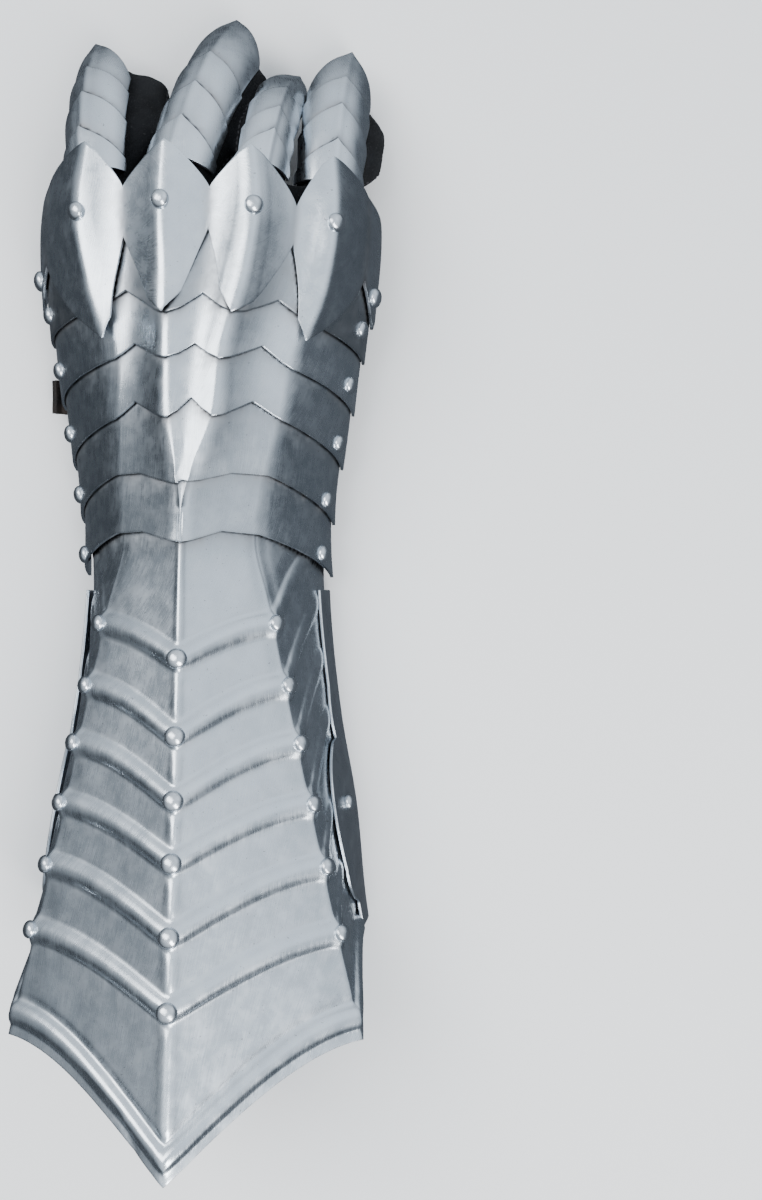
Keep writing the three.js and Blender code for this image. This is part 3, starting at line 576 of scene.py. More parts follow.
def cuff_height(across, y, base):
    """How far the cuff's outer face stands off the form."""
    down = side_ways(across)
    fade = (1 - 0.62 * smoothstep(down, 0, 0.07)) * (1 - smoothstep(down, 0.55, 0.9))
    height = np.zeros_like(y)
    between = np.ones_like(y)
    for ridge, crease, foot in FLUTES:
        away = y - arched((ridge, crease, foot), across)
        height = np.maximum(height, FLUTE_HEIGHT * fade * dome(away, FLUTE_HALF))
        between = np.minimum(between, smoothstep(np.abs(away), 3, 9))
        for edge in (1.0, 4.0):
            spot = form_point(edge, crease)
            boss = dome(np.linalg.norm(base - spot, axis=-1), 5.6)
            height = np.maximum(height, (FLUTE_HEIGHT - 0.1) * boss)
    ridge_line = np.where(across <= 2, 2 - across, across - 3)
    pinch = np.exp(-(ridge_line / 0.026) ** 2)
    scallop = np.exp(-((ridge_line - 1) / 0.10) ** 2)
    height = height + between * (0.9 * pinch - 0.35 * scallop)
    end = y - arched(CUFF_END, across)
    height = height * smoothstep(end, 12, 17)
    height = height + RIM_HEIGHT * dome(end - 8, 4.2) ** 0.8 - 0.55 * np.exp(-((end - 13.5) / 1.6) ** 2)
    height = height - 0.6 * pucker(base[..., 0], y)
    return height + 0.22 * noise_at(base, 24) + 0.08 * noise_at(base, 8)


# %% Build the cuff
lines = [CUFF_END] + FLUTES[::-1] + [CUFF_FRONT]
cuff_rows = np.concatenate([np.linspace(0, 1, 57)[:-1]]
                           + [k + np.linspace(0, 1, 25)[:-1] for k in range(1, 6)]
                           + [6 + np.linspace(0, 1, 53)])
# Close pairs of columns beside each crease keep it a straight line, also where the flutes cross it.
CREASE_HOLDS = (0.97, 0.99, 1.008, 3.992, 4.01, 4.03)
cuff_across = np.unique(np.concatenate([
    steps([0, 1], 22), steps([1, 2], 44), steps([3, 4], 44)[1:], steps([4, 5], 22), CREASE_HOLDS]))
line_table = np.array(lines, float)
row_lines = [np.interp(cuff_rows, np.arange(len(lines)), line_table[:, c]) for c in range(3)]
U = np.broadcast_to(cuff_across[:, None], (len(cuff_across), len(cuff_rows)))
Y = arched([np.broadcast_to(c[None, :], U.shape) for c in row_lines], U)
base = form_point(U, Y)
cuff_grid = on_form(U, Y, PLATE + cuff_height(U, Y, base))
cuff_grid = relax(cuff_grid, 1)


LAME_MARKS = (0, 1, 1.4, 2, 2.5, 3, 3.5, 4, 5)
LAMES = [  # name, front, free end at each mark, tone
    ("lame_1", 142, (100, 107, 111.5, 101, 108.5, 101.5, 108, 101.5, 93), 0.74),
    ("lame_2", 121, (76, 88, 92.5, 85.5, 90.7, 85, 91.5, 84, 73), 1.0),
    ("lame_3", 100, (52, 66, 71.5, 64.5, 71.5, 65, 71.3, 65.5, 52), 0.95),
    ("lame_4", 79, (31, 46, 46, 41.5, 42.5, 42.5, 46.3, 46, 30), 0.92),
    ("lame_5", 58, (10, 24.5, 24.8, 20.5, 20.3, 20.5, 25, 24, 9), 0.95),
]


def lame_back(lame, across):
    return np.interp(across, LAME_MARKS, lame[2])


def edge_shadow_and_dirt(y, edge, reach=2.4):
    """Painted shadow, partly browned as dirt, just outside the edge of the plate above, which lies at y =
    edge.
    """
    return np.where(y > edge, 1.0, np.exp(-np.maximum(0, edge - y) / reach))


# Darker along the feet of the flutes and in the groove behind the rim; below the free end of lame_5, which
# laps over the cuff, a painted shadow that the finish also browns as dirt.
valley = np.zeros_like(Y)
for flute in FLUTES:
    away = np.abs(Y - arched(flute, U))
    valley = np.maximum(valley, np.exp(-((away - 5.2) / 1.3) ** 2))
rim_gap = np.exp(-((Y - arched(CUFF_END, U) - 13.5) / 2) ** 2)
cuff_dirt_and_shade = np.clip(0.10 * valley + 0.08 * rim_gap + 1.0 * edge_shadow_and_dirt(Y, lame_back(LAMES[4], U)), 0, 1)
cuff_values = {"dirt_and_shade": cuff_dirt_and_shade, "wear": np.exp(-np.abs(Y - arched(CUFF_END, U) - 8) / 2), "shade": 1.0}
cuff = add_piece("cuff", plate_mesh("cuff", cuff_grid, values=cuff_values, normals=form_normal(U, Y)),
                 STEEL, ["cuff_plate"])
bevel_rim(cuff)
print("cuff", cuff_grid.shape, len(cuff.data.polygons), "faces")

# %% [markdown]
# ## The cuff's inner plate
# A second plate closes the cuff under the wrist. It is flat below, so the gauntlet rests on it, and it
# turns up outside the cuff's lower edges into a lobed flange held by one rivet on each side.

# %% Build the inner plate
INNER_FRONT, INNER_BACK, CORNER, WALL = 4, -126, 9, 24
LOBE, LOBE_AT, LOBE_HALF = 19, -84, 31


def flange_top(y):
    off = (y - LOBE_AT) / LOBE_HALF
    steps_up = 2.2 * dome(y + 112, 11) + 2.2 * dome(y + 45, 12)
    return WALL + steps_up + LOBE * np.sqrt(np.maximum(0, 1 - off * off))


def wall_x(y, z):
    crease = form_column("rightCreaseZ", y)
    down = np.clip((crease - z) / (crease - form_column("footZ", y)), 0, 1)
    return np.abs(form_point(4 + down, y)[..., 0]) + 2 * PLATE + GAP + 0.7 + 1.2 * (1 - down)


def inner_grid():
    ways = steps([-3, -2, -1, 1, 2, 3], 12)
    ys = np.linspace(INNER_FRONT, INNER_BACK, 90)
    w, y = np.meshgrid(ways, ys, indexing="ij")
    reach, sign = np.abs(w), np.sign(w)
    flat = wall_x(y, form_column("footZ", y)) - CORNER
    turn = np.clip(reach - 1, 0, 1) * np.pi / 2
    z_wall = CORNER + (flange_top(y) - CORNER) * np.clip(reach - 2, 0, 1)
    x = np.where(reach <= 1, flat * reach, flat + CORNER * np.sin(turn))
    x = np.where(reach > 2, wall_x(y, z_wall) - 0.9 * np.clip(reach - 2, 0, 1), x)
    z = np.where(reach <= 1, 0, CORNER * (1 - np.cos(turn)))
    z = np.where(reach > 2, z_wall, z)
    return np.stack([sign * x, y, z], -1)


grid = inner_grid()
inner = add_piece("cuff_inner", plate_mesh("cuff_inner", grid, values={
    "dirt_and_shade": 0.25 + 0.25 * noise_at(grid, 15), "wear": 0.0, "shade": 0.8}),
    STEEL, ["cuff_inner_plate"])
bevel_rim(inner)
print("inner plate", len(inner.data.polygons), "faces")

# %% [markdown]
# ## Lames
# Five narrow plates slide over each other when the wrist bends. Each climbs a little off the form towards
# the arm, so it passes over the next. The free end is cut in a zigzag that answers the creases, and the
# cut edge is left bright, while below it a painted shadow, partly brown dirt, darkens the next plate.

# %% Build the lames
LAME_TRIM = 6


def lame_height(front, y):
    return PLATE + RISE * (front - y)


KNUCKLES = [  # across, front edge, back edge, is it a diamond's tip
    (0, 146, 119, 0), (0.14, 149, 112, 1), (0.5, 156, 127, 0), (1, 165, 96, 1), (1.5, 148, 130, 0),
    (2, 162, 101, 1), (2.5, 146, 131, 0), (3, 160, 101, 1), (3.5, 141, 127.5, 0), (4, 160, 95, 1),
    (4.5, 151, 121, 0), (4.9, 147, 106, 1), (5, 145, 110, 0),
]
KNUCKLE_FRONT = 169


def knuckle_edge(key, across):
    """The front or back edge: each tip's edges bulge like a leaf's."""
    marks = [row[0] for row in KNUCKLES]
    i = np.clip(np.searchsorted(marks, across, side="right") - 1, 0, len(marks) - 2)
    rows = np.array(KNUCKLES, float)
    a, b = rows[i], rows[i + 1]
    tip = np.where(a[..., 3:4] == 1, a, b)
    web = np.where(a[..., 3:4] == 1, b, a)
    t = np.abs(across - tip[..., 0]) / (b[..., 0] - a[..., 0])
    leaf = (1 - np.clip(t, 0, 1)) ** (0.82 if key == 1 else 0.95)   # the front is the rounder of the two
    return web[..., key] + (tip[..., key] - web[..., key]) * leaf


def build_lame(n):
    name, front, _, shade = lame = LAMES[n]
    columns = steps([0, 0.5, 1, 1.4, 2, 2.5, 3, 3.5, 4, 4.5, 5], 26)
    rows = np.concatenate([np.linspace(0, 0.12, 6)[:-1], np.linspace(0.12, 1, 22)])
    across, t = np.meshgrid(columns, rows, indexing="ij")
    back = lame_back(lame, across)
    y = back + (front - LAME_TRIM - 4 * side_ways(across) - back) * t
    surface = form_point(across, y)
    height = lame_height(front, y) + 0.10 * noise_at(surface, 18, n + 1.0)
    grid = relax(on_form(across, y, height), 1)
    edge = knuckle_edge(2, across) if n == 0 else lame_back(LAMES[n - 1], across)
    # Painted shadow, partly browned as dirt, just beyond the edge of the plate above (the knuckle plate for
    # the first lame), and a little darker near this lame's own free end.
    dirt_and_shade = 1.05 * edge_shadow_and_dirt(y, edge, 2.4) + 0.18 * np.exp(-(y - back) / 1.5)
    if n == 0:
        dirt_and_shade = np.maximum(dirt_and_shade, 0.42)
    wear = np.exp(-(y - back) / 1.2)
    mesh = plate_mesh(name, grid, values={"dirt_and_shade": np.clip(dirt_and_shade, 0, 1), "wear": wear, "shade": shade})
    bevel_rim(add_piece(name + "_plate", mesh, STEEL, [name]))


for n in range(len(LAMES)):
    build_lame(n)
print("lames:", [lame[0] for lame in LAMES])

# %% [markdown]
# ## The knuckle plate
# Four diamonds over the knuckles, hammered from one plate: each is a leaf with a crease down its middle,
# and the webs between them are sunk. Its front and back edges follow a table of tips and webs.

# %% Build the knuckle plate
def knuckle_plate():
    columns = steps([row[0] for row in KNUCKLES], 40)
    across, t = np.meshgrid(columns, np.linspace(0, 1, 56), indexing="ij")
    back, front = knuckle_edge(2, across), knuckle_edge(1, across)
    y = back + (front - back) * t
    surface = form_point(across, y)
    to_tip = np.abs(across - np.round(np.clip(across, 1, 4)))
    leaf = dome(to_tip, 0.5) * 0.8 * smoothstep(y, 95, 108)
    crest = 0.9 * np.exp(-(to_tip / 0.045) ** 2) * (1 - smoothstep(y, 126, 146))
    height = lame_height(KNUCKLE_FRONT, y) + leaf + crest + 0.12 * noise_at(surface, 16, 9.0)
    grid = relax(on_form(across, y, height), 2)
    # Darker along the sunk webs between the diamonds and near the back edge.
    dirt_and_shade = 0.55 * np.exp(-((to_tip - 0.5) / 0.07) ** 2) + 0.3 * np.exp(-(y - back) / 1.5)
    shade = np.where(across > 4, 0.8, 1.0) * 0.98
    wear = np.exp(-np.minimum(y - back, front - y) / 1.2)
    mesh = plate_mesh("knuckles", grid, values={"dirt_and_shade": np.clip(dirt_and_shade, 0, 1), "wear": wear, "shade": shade})
    bevel_rim(add_piece("knuckles", mesh, STEEL, ["knuckle_plate"]))
    return grid


knuckle_grid = knuckle_plate()
print("knuckle plate", knuckle_grid.shape)

# %% [markdown]
# ## Fingers: a curved middle line
# Every finger follows an arc that starts level and curls down. Scales and glove both use it: a point is
# named by how far along the finger it is, an angle round it, and a radius.

# %% Finger tables and their frame
FINGER_COLUMNS = ("x", "y", "top", "heading", "roll", "curlStart", "curlEnd", "length", "radius", "cover",
                  "bulgeLeft", "bulgeRight")
FINGER_ROWS = {
    "index": (-33.5, 150, 59.2, -4, -20, 8, 53, 66, 10.9, 72, 0.5, 8),
    "middle": (-3, 150, 69.6, 13, -10, 10, 60, 80, 11.2, 74, 5, 0.5),
    "ring": (24.9, 148, 68.2, 6, 24, 15, 70, 65, 8.4, 62, 0, 0),
    "little": (48.9, 147, 52, 3.5, 16, 6, 50, 61, 10.8, 72, 0, 8),
    "thumb": (-32.5, 74, 23.5 + 10 + 2.2 * PLATE, -7, -76, 14, 2, 76, 10, 58, 0, 0),
}
CLOTH_SWELL = {"index": (1, 4), "middle": (3, 5), "ring": (1, 1), "little": (0, 5), "thumb": (0, 0)}
SCALE_POINTS = {"index": (20, 35.5, 50, 71), "middle": (19, 34, 51, 84), "ring": (18, 30, 45, 72),
                "little": (19, 34, 49, 70)}
SCALE_POINT, TIP_POINT, SCALE_LAP, SCALE_PLATE = 11, 22, 5, 1
SCALE_STEP, SCALE_RISE, SCALE_START = 1.4, 0.085, 5
FINGERS = {name: dict(zip(FINGER_COLUMNS, row)) for name, row in FINGER_ROWS.items()}


def around(finger, s, angle, radius):
    """A point at s mm along the finger, angle degrees round it, radius mm out."""
    start, end = math.radians(finger["curlStart"]), math.radians(finger["curlEnd"])
    turn = end - start
    inside = np.clip(s, 0, finger["length"])
    pitch = start + turn * inside / finger["length"]
    bend = finger["length"] / turn
    beyond = s - inside
    forward = bend * (np.sin(pitch) - math.sin(start)) + beyond * np.cos(pitch)
    drop = bend * (math.cos(start) - np.cos(pitch)) + beyond * np.sin(pitch)
    hx, hy = math.sin(math.radians(finger["heading"])), math.cos(math.radians(finger["heading"]))
    z = finger["top"] - finger["radius"] - 2.2 * PLATE - drop
    turned = np.radians(angle + finger["roll"])
    lift, aside = radius * np.cos(turned), radius * np.sin(turned)
    ahead = forward + lift * np.sin(pitch)
    return np.stack(np.broadcast_arrays(finger["x"] + hx * ahead + hy * aside,
                                        finger["y"] + hy * ahead - hx * aside,
                                        z + lift * np.cos(pitch)), -1)


# %% [markdown]
# ## Scales
# Four bent scales overlap on each finger like roof tiles, each with an ogee point. A faint crease down
# the middle stiffens the steel. Their sizes come from one rule, so one function makes all of them.

# %% Build the scales
def scale_mesh(name, finger, begin, to, point, start, lift, seed, before=-99.0, shade=1.0):
    us = np.linspace(-1, 1, 45)
    rows = np.concatenate([np.linspace(0, 0.85, 20)[:-1], np.linspace(0.85, 1, 8)])
    u, t = np.meshgrid(us, rows, indexing="ij")
    ogee = 0.80 * np.abs(u) ** 0.8 + 0.20 * np.abs(u) ** 3
    end = to - point * ogee
    s = begin + (end - begin) * t
    crease = 0.45 * np.exp(-(u / 0.09) ** 2)
    radius = finger["radius"] + GAP + SCALE_PLATE + lift + SCALE_RISE * (s - start) + crease
    grid = around(finger, s, u * finger["cover"], radius)
    grid = grid + (0.07 * noise_at(grid, 7, seed))[..., None] * grid_normals(grid)
    cut = np.exp(-(end - s) / 1.1)
    above = before - SCALE_POINT * ogee   # the edge of the scale before it
    # Painted shadow below the edge of the scale before it: full where that scale covers this one, fading over
    # about 2 mm beyond its edge.
    lap_shadow = np.exp(-np.maximum(0, s - above) / 1.7)
    dirt_and_shade = np.clip(0.06 + 1.7 * lap_shadow + 0.15 * cut + 0.25 * np.abs(u) ** 6, 0, 1)
    return plate_mesh(name, grid, SCALE_PLATE, {"dirt_and_shade": dirt_and_shade, "wear": cut, "shade": shade})


for finger_name, points in SCALE_POINTS.items():
    finger = FINGERS[finger_name]
    starts = [SCALE_START] + [max(SCALE_START, p - SCALE_POINT - SCALE_LAP) for p in points[:-1]]
    for n, (begin, to) in enumerate(zip(starts, points), 1):
        node = f"{finger_name}_scale_{n}"
        mesh = scale_mesh(node, finger, begin, to, TIP_POINT if n == 4 else SCALE_POINT,
                          starts[-1], SCALE_STEP * (4 - n), n + 0.3, points[n - 2] if n > 1 else -99.0)
        scale = add_piece(f"{finger_name}_plate_{n}", mesh, STEEL, [node])
        bevel_rim(scale, 0.15)

THUMB_PLATES = [  # name, where it begins and ends along the thumb, lift off the cloth
    ("thumb_base_plate", 16, 46, 2.9),
    ("thumb_middle_scale", 32, 62, 1.5),
    ("thumb_tip_scale", 47, 80, 0.1),
]
for name, begin, to, lift in THUMB_PLATES:
    mesh = scale_mesh(name, FINGERS["thumb"], begin, to, SCALE_POINT, start=THUMB_PLATES[-1][1], lift=lift,
                      seed=lift + 5, before=begin + 14, shade=0.85)
    bevel_rim(add_piece(name.replace("_", "_steel_", 1), mesh, STEEL, [name]), 0.2)
print("scales:", sum(len(p) for p in SCALE_POINTS.values()), "thumb plates:", len(THUMB_PLATES))

# %% [markdown]
# ## The glove
# Under the steel is a black glove. A glove is sewn from flat pieces, but once worn it follows the hand
# with soft folds. So the hand and its five fingers are joined as one soft form: solid shapes are fused,
# smoothed where they meet, opened at the wrist and given a 2 mm wall.

# %% Build the glove
PALM = np.array([  # y, x, z, half width, half height
    (-6, 0, 35, 32, 22), (20, 0, 36, 30, 21.5), (65, 3, 37, 38, 18), (110, 4, 42, 45, 17),
    (138, 7, 42, 48, 17), (150, 8, 42, 47, 16),
], float)
CLOTH = 2.0


def tube_mesh(name, rings):
    """A closed skin over rings of points, capped at both ends."""
    rings = np.asarray(rings)
    count, around_count = rings.shape[:2]
    at = np.arange(count * around_count).reshape(count, around_count)
    nxt = np.roll(at, -1, 1)
    faces = np.stack([at[:-1], nxt[:-1], nxt[1:], at[1:]], -1).reshape(-1, 4).tolist()
    faces += [at[0][::-1].tolist(), at[-1].tolist()]
    mesh = mesh_from(name, rings.reshape(-1, 3), faces)
    shape = bmesh.new()
    shape.from_mesh(mesh)
    bmesh.ops.recalc_face_normals(shape, faces=shape.faces)
    shape.to_mesh(mesh)
    shape.free()
    return mesh


def glove_bulge(name, finger, s, angle):
    def swell(down):
        return smoothstep(down, finger["cover"] + 6, finger["cover"] + 40) * (1 - smoothstep(down, 130, 180))
    left, right = CLOTH_SWELL[name]
    sides = (finger["bulgeRight"] + right) * swell(angle) + (finger["bulgeLeft"] + left) * swell(360 - angle)
    return sides * smoothstep(s, 6, 30)


def finger_rings(name, finger):
    stops = np.concatenate([np.linspace(-14, finger["length"] - 9, 30),
                            finger["length"] - 9 + 9 * np.sin(np.linspace(0.2, 1.45, 8))])
    angle = np.linspace(0, 360, 48, endpoint=False)
    s, angle = np.meshgrid(stops, angle, indexing="ij")
    tip = np.sqrt(np.clip(1 - ((s - finger["length"] + 9) / 9.2).clip(0, 1) ** 2, 0.02, 1))
    folds = 0.35 * np.sin(s * 0.9) * smoothstep(np.abs(angle - 180), 100, 40)
    rings = around(finger, s, angle, (finger["radius"] + glove_bulge(name, finger, s, angle) + folds) * tip)
    rings[..., 2] = np.maximum(rings[..., 2], 0.2)
    return rings


def palm_rings():
    ys = np.linspace(-10, 152, 60)
    angle = np.linspace(0, 2 * np.pi, 80, endpoint=False)
    y, angle = np.meshgrid(ys, angle, indexing="ij")
    x, z, wide, high = (smooth_column(PALM, k, y) for k in (1, 2, 3, 4))
    return np.stack([x + wide * np.sin(angle), y, z + high * np.cos(angle)], -1)


def evaluated(obj):
    """The mesh of an object after its modifiers."""
    graph = bpy.context.evaluated_depsgraph_get()
    return bpy.data.meshes.new_from_object(obj.evaluated_get(graph))


def fuse(name, meshes, voxel):
    """One soft closed skin round several closed ones."""
    joined = bmesh.new()
    for mesh in meshes:
        joined.from_mesh(mesh)
    whole = bpy.data.meshes.new(name)
    joined.to_mesh(whole)
    joined.free()
    helper = bpy.data.objects.new(name, whole)
    bpy.context.scene.collection.objects.link(helper)
    remesh = helper.modifiers.new("fuse", "REMESH")
    remesh.mode = "VOXEL"
    remesh.voxel_size = voxel * MM
    relaxed = helper.modifiers.new("soften", "SMOOTH")
    relaxed.iterations = 6
    relaxed.factor = 0.5
    result = evaluated(helper)
    bpy.data.objects.remove(helper)
    return result


def open_wrist(mesh, y):
    """Cut the closed end of the glove away at y, and give the skin its cloth wall."""
    shape = bmesh.new()
    shape.from_mesh(mesh)
    bmesh.ops.bisect_plane(shape, geom=shape.verts[:] + shape.edges[:] + shape.faces[:],
                           plane_co=(0, y * MM, 0), plane_no=(0, -1, 0), clear_outer=True)
    for vert in shape.verts:
        bulge = 0.5 * noise.noise(vert.co / (14 * MM)) + 0.22 * noise.noise(vert.co / (5 * MM))
        vert.co += vert.normal * bulge * MM
        vert.co.z = max(vert.co.z, 0.0001)
    shape.to_mesh(mesh)
    shape.free()
    mesh.polygons.foreach_set("use_smooth", [True] * len(mesh.polygons))


skins = [tube_mesh("palm", palm_rings())]
skins += [tube_mesh(name, finger_rings(name, finger)) for name, finger in FINGERS.items()]
glove_mesh = fuse("glove", skins, 1.7)
open_wrist(glove_mesh, -5)
glove = add_piece("glove", glove_mesh, FELT,
                  ["glove_palm", "glove_index", "glove_middle", "glove_ring", "glove_little", "glove_thumb"])
wall = glove.modifiers.new("cloth_wall", "SOLIDIFY")
wall.thickness = CLOTH * MM
wall.offset = -1
print("glove:", len(glove.data.polygons), "faces")

# %% [markdown]
# ## The thumb strap
# A worn leather tab hangs from the second lame to the thumb. Its lower edge has curled out with age.

# %% Build the strap
STRAP_FACE = np.array([(-47, 26), (-48.5, 20), (-51.5, 12), (-56, 7.5), (-61, 6.5), (-63.5, 10)], float)
LEATHER = 2.4


def strap_grid():
    marks = np.arange(len(STRAP_FACE))
    rows = np.linspace(0, len(STRAP_FACE) - 1, 36)
    table = np.column_stack([marks, STRAP_FACE])
    x, z = smooth_column(table, 1, rows), smooth_column(table, 2, rows)
    u = np.linspace(0, 1, 22)
    grid = np.empty((len(u), len(rows), 3))
    ragged = 0.5 * noise_at(np.stack([rows * 4, rows * 0, rows * 0], -1), 3)
    grid[..., 0] = x[None]
    grid[..., 2] = z[None]
    grid[..., 1] = 88 - ragged[None] + (75 - 88 + 2 * ragged[None]) * u[:, None]
    return grid + (0.35 * noise_at(grid, 5))[..., None] * grid_normals(grid)


strap_mesh = plate_mesh("strap", strap_grid(), LEATHER)
strap = add_piece("strap", strap_mesh, LEATHER_FINISH, ["thumb_strap"])
bevel_rim(strap, 0.5)
print("strap", len(strap.data.polygons), "faces")

# %% [markdown]
# ## Rivets
# Every rivet is the same thing set in a different place: a domed head that stands square to the plate.
# That is a rule, so Geometry Nodes does it. The script gives one point for each rivet, with the way it
# faces and its size, and the node tree sets a dome on each.

# %% A node tree that sets domes on points
def begin_tree(name, source, inputs):
    """A node tree fed by a geometry named source and by named inputs, with the identifier of each input."""
    tree = bpy.data.node_groups.new(name, "GeometryNodeTree")
    face = tree.interface
    face.new_socket(source, in_out="INPUT", socket_type="NodeSocketGeometry")
    sockets = {label: face.new_socket(label, in_out="INPUT", socket_type="NodeSocket" + kind).identifier
               for label, kind in inputs.items()}
    face.new_socket("Geometry", in_out="OUTPUT", socket_type="NodeSocketGeometry")
    return tree, put(tree, "NodeGroupInput").outputs, sockets


def end_tree(tree, instances, material):
    real = put(tree, "GeometryNodeRealizeInstances", {"Geometry": instances})
    dressed = put(tree, "GeometryNodeSetMaterial", {"Geometry": real.outputs[0], "Material": material})
    put(tree, "NodeGroupOutput", {0: dressed.outputs[0]})


def rivet_tree():
    tree, given, sockets = begin_tree("set_rivets", "Points", {
        "Segments": "Int", "Height": "Float", "Material": "Material"})
    ball = put(tree, "GeometryNodeMeshUVSphere", {"Segments": given["Segments"], "Rings": 16, "Radius": 1.0})
    flat = put(tree, "ShaderNodeCombineXYZ", {"X": 1.0, "Y": 1.0, "Z": given["Height"]})
    head = put(tree, "GeometryNodeTransform", {"Geometry": ball.outputs["Mesh"], "Scale": flat.outputs[0]})
    soft = put(tree, "GeometryNodeSetShadeSmooth", {"Geometry": head.outputs[0]})
    aim = put(tree, "GeometryNodeInputNamedAttribute", {"Name": "aim"}, data_type="FLOAT_VECTOR")
    size = put(tree, "GeometryNodeInputNamedAttribute", {"Name": "size"}, data_type="FLOAT")
    turned = put(tree, "FunctionNodeAlignRotationToVector", {"Vector": aim.outputs[0]}, axis="Z")
    on_points = put(tree, "GeometryNodeInstanceOnPoints", {
        "Points": given["Points"], "Instance": soft.outputs[0],
        "Rotation": turned.outputs[0], "Scale": size.outputs[0]})
    end_tree(tree, on_points.outputs[0], given["Material"])
    return tree, sockets


RIVET_TREE, RIVET_SOCKETS = rivet_tree()


def grown(name, source, tree, sockets, inputs):
    """Run a node tree over a mesh and keep the result as a plain mesh, with no material yet."""
    helper = bpy.data.objects.new(name, source)
    bpy.context.scene.collection.objects.link(helper)
    modifier = helper.modifiers.new(name, "NODES")
    modifier.node_group = tree
    for label, value in inputs.items():
        modifier[sockets[label]] = value
    mesh = evaluated(helper)
    bpy.data.objects.remove(helper)
    mesh.materials.clear()
    return mesh


HEAD_SEGMENTS = 28


def set_rivets(name, spots, material, nodes=(), height=0.66):
    """spots: point, way it faces and head radius for each rivet, in mm."""
    mesh = bpy.data.meshes.new(name + "_spots")
    mesh.from_pydata([tuple(np.asarray(p) * MM) for p, _, _ in spots], [], [])
    aims = mesh.attributes.new("aim", "FLOAT_VECTOR", "POINT")
    aims.data.foreach_set("vector", np.array([n for _, n, _ in spots]).ravel())
    sizes = mesh.attributes.new("size", "FLOAT", "POINT")
    sizes.data.foreach_set("value", [r * MM for _, _, r in spots])
    heads = grown(name, mesh, RIVET_TREE, RIVET_SOCKETS, {
        "Segments": HEAD_SEGMENTS, "Height": height, "Material": material})
    return add_piece(name, heads, material, nodes)


def spot(across, y, height, radius):
    return on_form(float(across), float(y), float(height)), form_normal(float(across), float(y)), radius


cuff_spots = []
cuff_nodes = []
for i, (ridge, crease, _) in enumerate(FLUTES, 1):
    cuff_spots += [spot(2, ridge, PLATE + FLUTE_HEIGHT, 3.8), spot(1, crease, PLATE + FLUTE_HEIGHT, 3.3),
                   spot(4, crease, PLATE + FLUTE_HEIGHT, 3.3)]
    cuff_nodes += [f"rivet_ridge_{i}", f"rivet_left_{i}", f"rivet_right_{i}"]
set_rivets("cuff_rivets", cuff_spots, RIVET, cuff_nodes)

KNUCKLE_RIVETS = ((1, 139.5), (2, 140), (3, 138), (4, 136))
knuckle_spots = [spot(a, y, lame_height(KNUCKLE_FRONT, y) + 1.2, 3.4) for a, y in KNUCKLE_RIVETS]
set_rivets("knuckle_rivets", knuckle_spots, RIVET, [f"knuckle_rivet_{i}" for i in range(1, 5)])

LAME_RIVETS = [(110, 104), (89, 83), (65, 61), (41.5, 39), (18, 18)]
side_spots = []
for (_, front, _, _), ys in zip(LAMES, LAME_RIVETS):
    side_spots += [spot(a, y, lame_height(front, y), 3.5) for a, y in zip((0.3, 4.7), ys)]
side_spots += [spot(a, y, lame_height(KNUCKLE_FRONT, y), 4.0) for a, y in ((0.2, 124), (4.8, 117))]
side_spots += [spot(a, LOBE_AT + 6, PLATE + 2.9, 3.2) for a in (0.42, 4.58)]
set_rivets("side_rivets", side_spots, RIVET, height=0.7)
print("rivets:", len(cuff_spots) + len(knuckle_spots) + len(side_spots))

# %% [markdown]
# ## Stitches
# A glove's seams run along both sides of each finger, and its wrist is hemmed. A stitch is a short thread
# laid along a path, so a second node tree walks each path at an even step and lays one down. The paths
# are first pulled onto the cloth, so no stitch floats.

# %% A node tree that lays stitches along paths
STITCH_STEP, THREAD_RADIUS, STITCH_LONG = 2.6, 0.3, 3.4   # the last in thread radii
SEAM_ANGLES, HEM_AT = (112, -112), (-1.5, 2.0)
THREAD_COLOR = (0.045, 0.045, 0.05, 1)


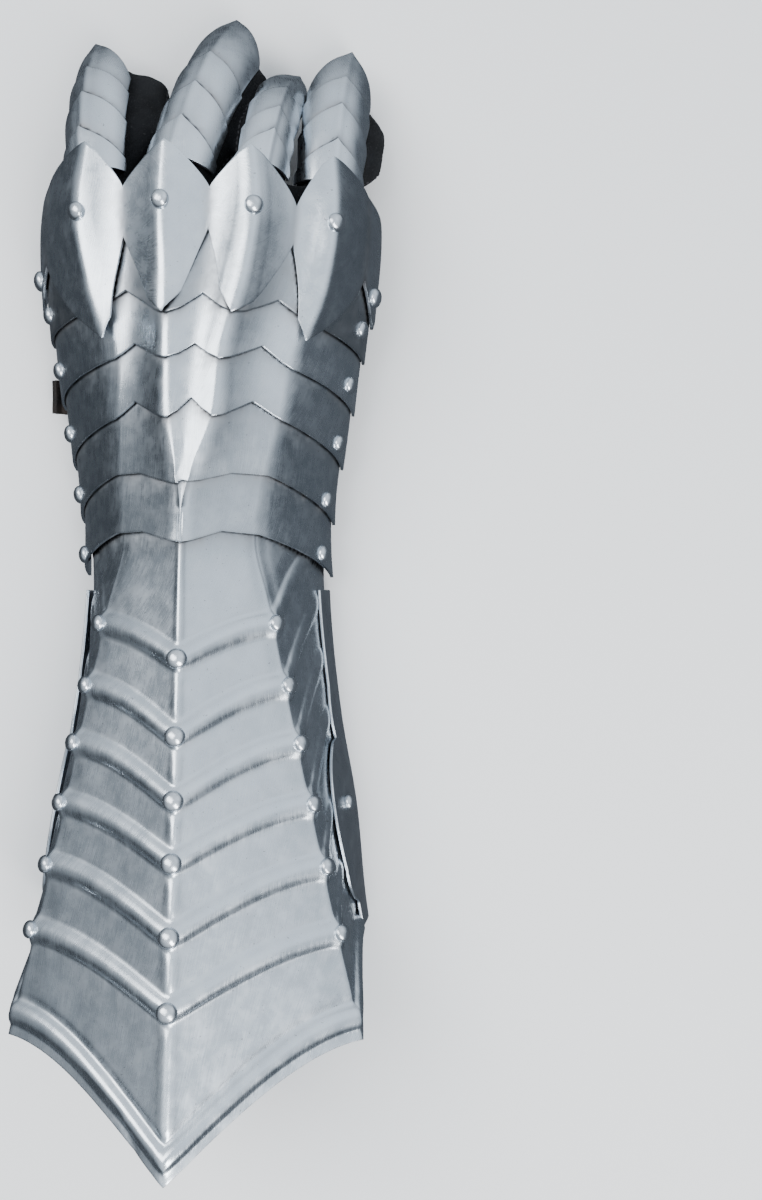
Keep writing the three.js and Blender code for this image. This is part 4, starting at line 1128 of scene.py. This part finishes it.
def stitch_tree():
    tree, given, sockets = begin_tree("lay_stitches", "Paths", {
        "Step": "Float", "Thread radius": "Float", "Material": "Material"})
    curve = put(tree, "GeometryNodeMeshToCurve", {"Mesh": given["Paths"]})
    even = put(tree, "GeometryNodeCurveToPoints", {"Curve": curve.outputs[0], "Length": given["Step"]},
               mode="LENGTH")
    bead = put(tree, "GeometryNodeMeshIcoSphere", {"Radius": 1.0, "Subdivisions": 2})
    shape = put(tree, "ShaderNodeCombineXYZ", {"X": 1.0, "Y": 1.0, "Z": STITCH_LONG})
    thread = put(tree, "GeometryNodeTransform", {"Geometry": bead.outputs[0], "Scale": shape.outputs[0]})
    turned = put(tree, "FunctionNodeAlignRotationToVector", {"Vector": even.outputs["Tangent"]}, axis="Z")
    laid = put(tree, "GeometryNodeInstanceOnPoints", {
        "Points": even.outputs["Points"], "Instance": thread.outputs[0],
        "Rotation": turned.outputs[0], "Scale": given["Thread radius"]})
    end_tree(tree, laid.outputs[0], given["Material"])
    return tree, sockets


def stitch_paths():
    """Seams along the fingers and the hem of the wrist, in mm."""
    paths = []
    for name, finger in FINGERS.items():
        s = np.linspace(10, finger["length"] - 6, 40)
        for side in SEAM_ANGLES:
            angle = np.full_like(s, side % 360)
            paths.append(around(finger, s, angle, finger["radius"] + glove_bulge(name, finger, s, angle)))
    turn = np.linspace(0, 2 * np.pi, 90)
    for y in HEM_AT:
        x, z, wide, high = (smooth_column(PALM, k, np.full_like(turn, y)) for k in (1, 2, 3, 4))
        paths.append(np.stack([x + wide * np.sin(turn), np.full_like(turn, y), z + high * np.cos(turn)], -1))
    return paths


cloth = BVHTree.FromPolygons([v.co for v in glove_mesh.vertices], [p.vertices for p in glove_mesh.polygons])
path_points, path_edges = [], []
for path in stitch_paths():
    first = len(path_points)
    path_points += [tuple(cloth.find_nearest(Vector(p) * MM)[0]) for p in path]
    path_edges += [(k, k + 1) for k in range(first, len(path_points) - 1)]
path_mesh = bpy.data.meshes.new("stitch_paths")
path_mesh.from_pydata(path_points, path_edges, [])
thread_finish, _, thread_shader = new_finish("thread", Specular_IOR_Level=0.3, Roughness=0.8)
thread_shader.inputs["Base Color"].default_value = THREAD_COLOR
STITCH_TREE, STITCH_SOCKETS = stitch_tree()
stitch_mesh = grown("stitches", path_mesh, STITCH_TREE, STITCH_SOCKETS, {
    "Step": STITCH_STEP * MM, "Thread radius": THREAD_RADIUS * MM, "Material": thread_finish})
add_piece("stitches", stitch_mesh, thread_finish)
print("stitches:", len(stitch_mesh.polygons), "faces")
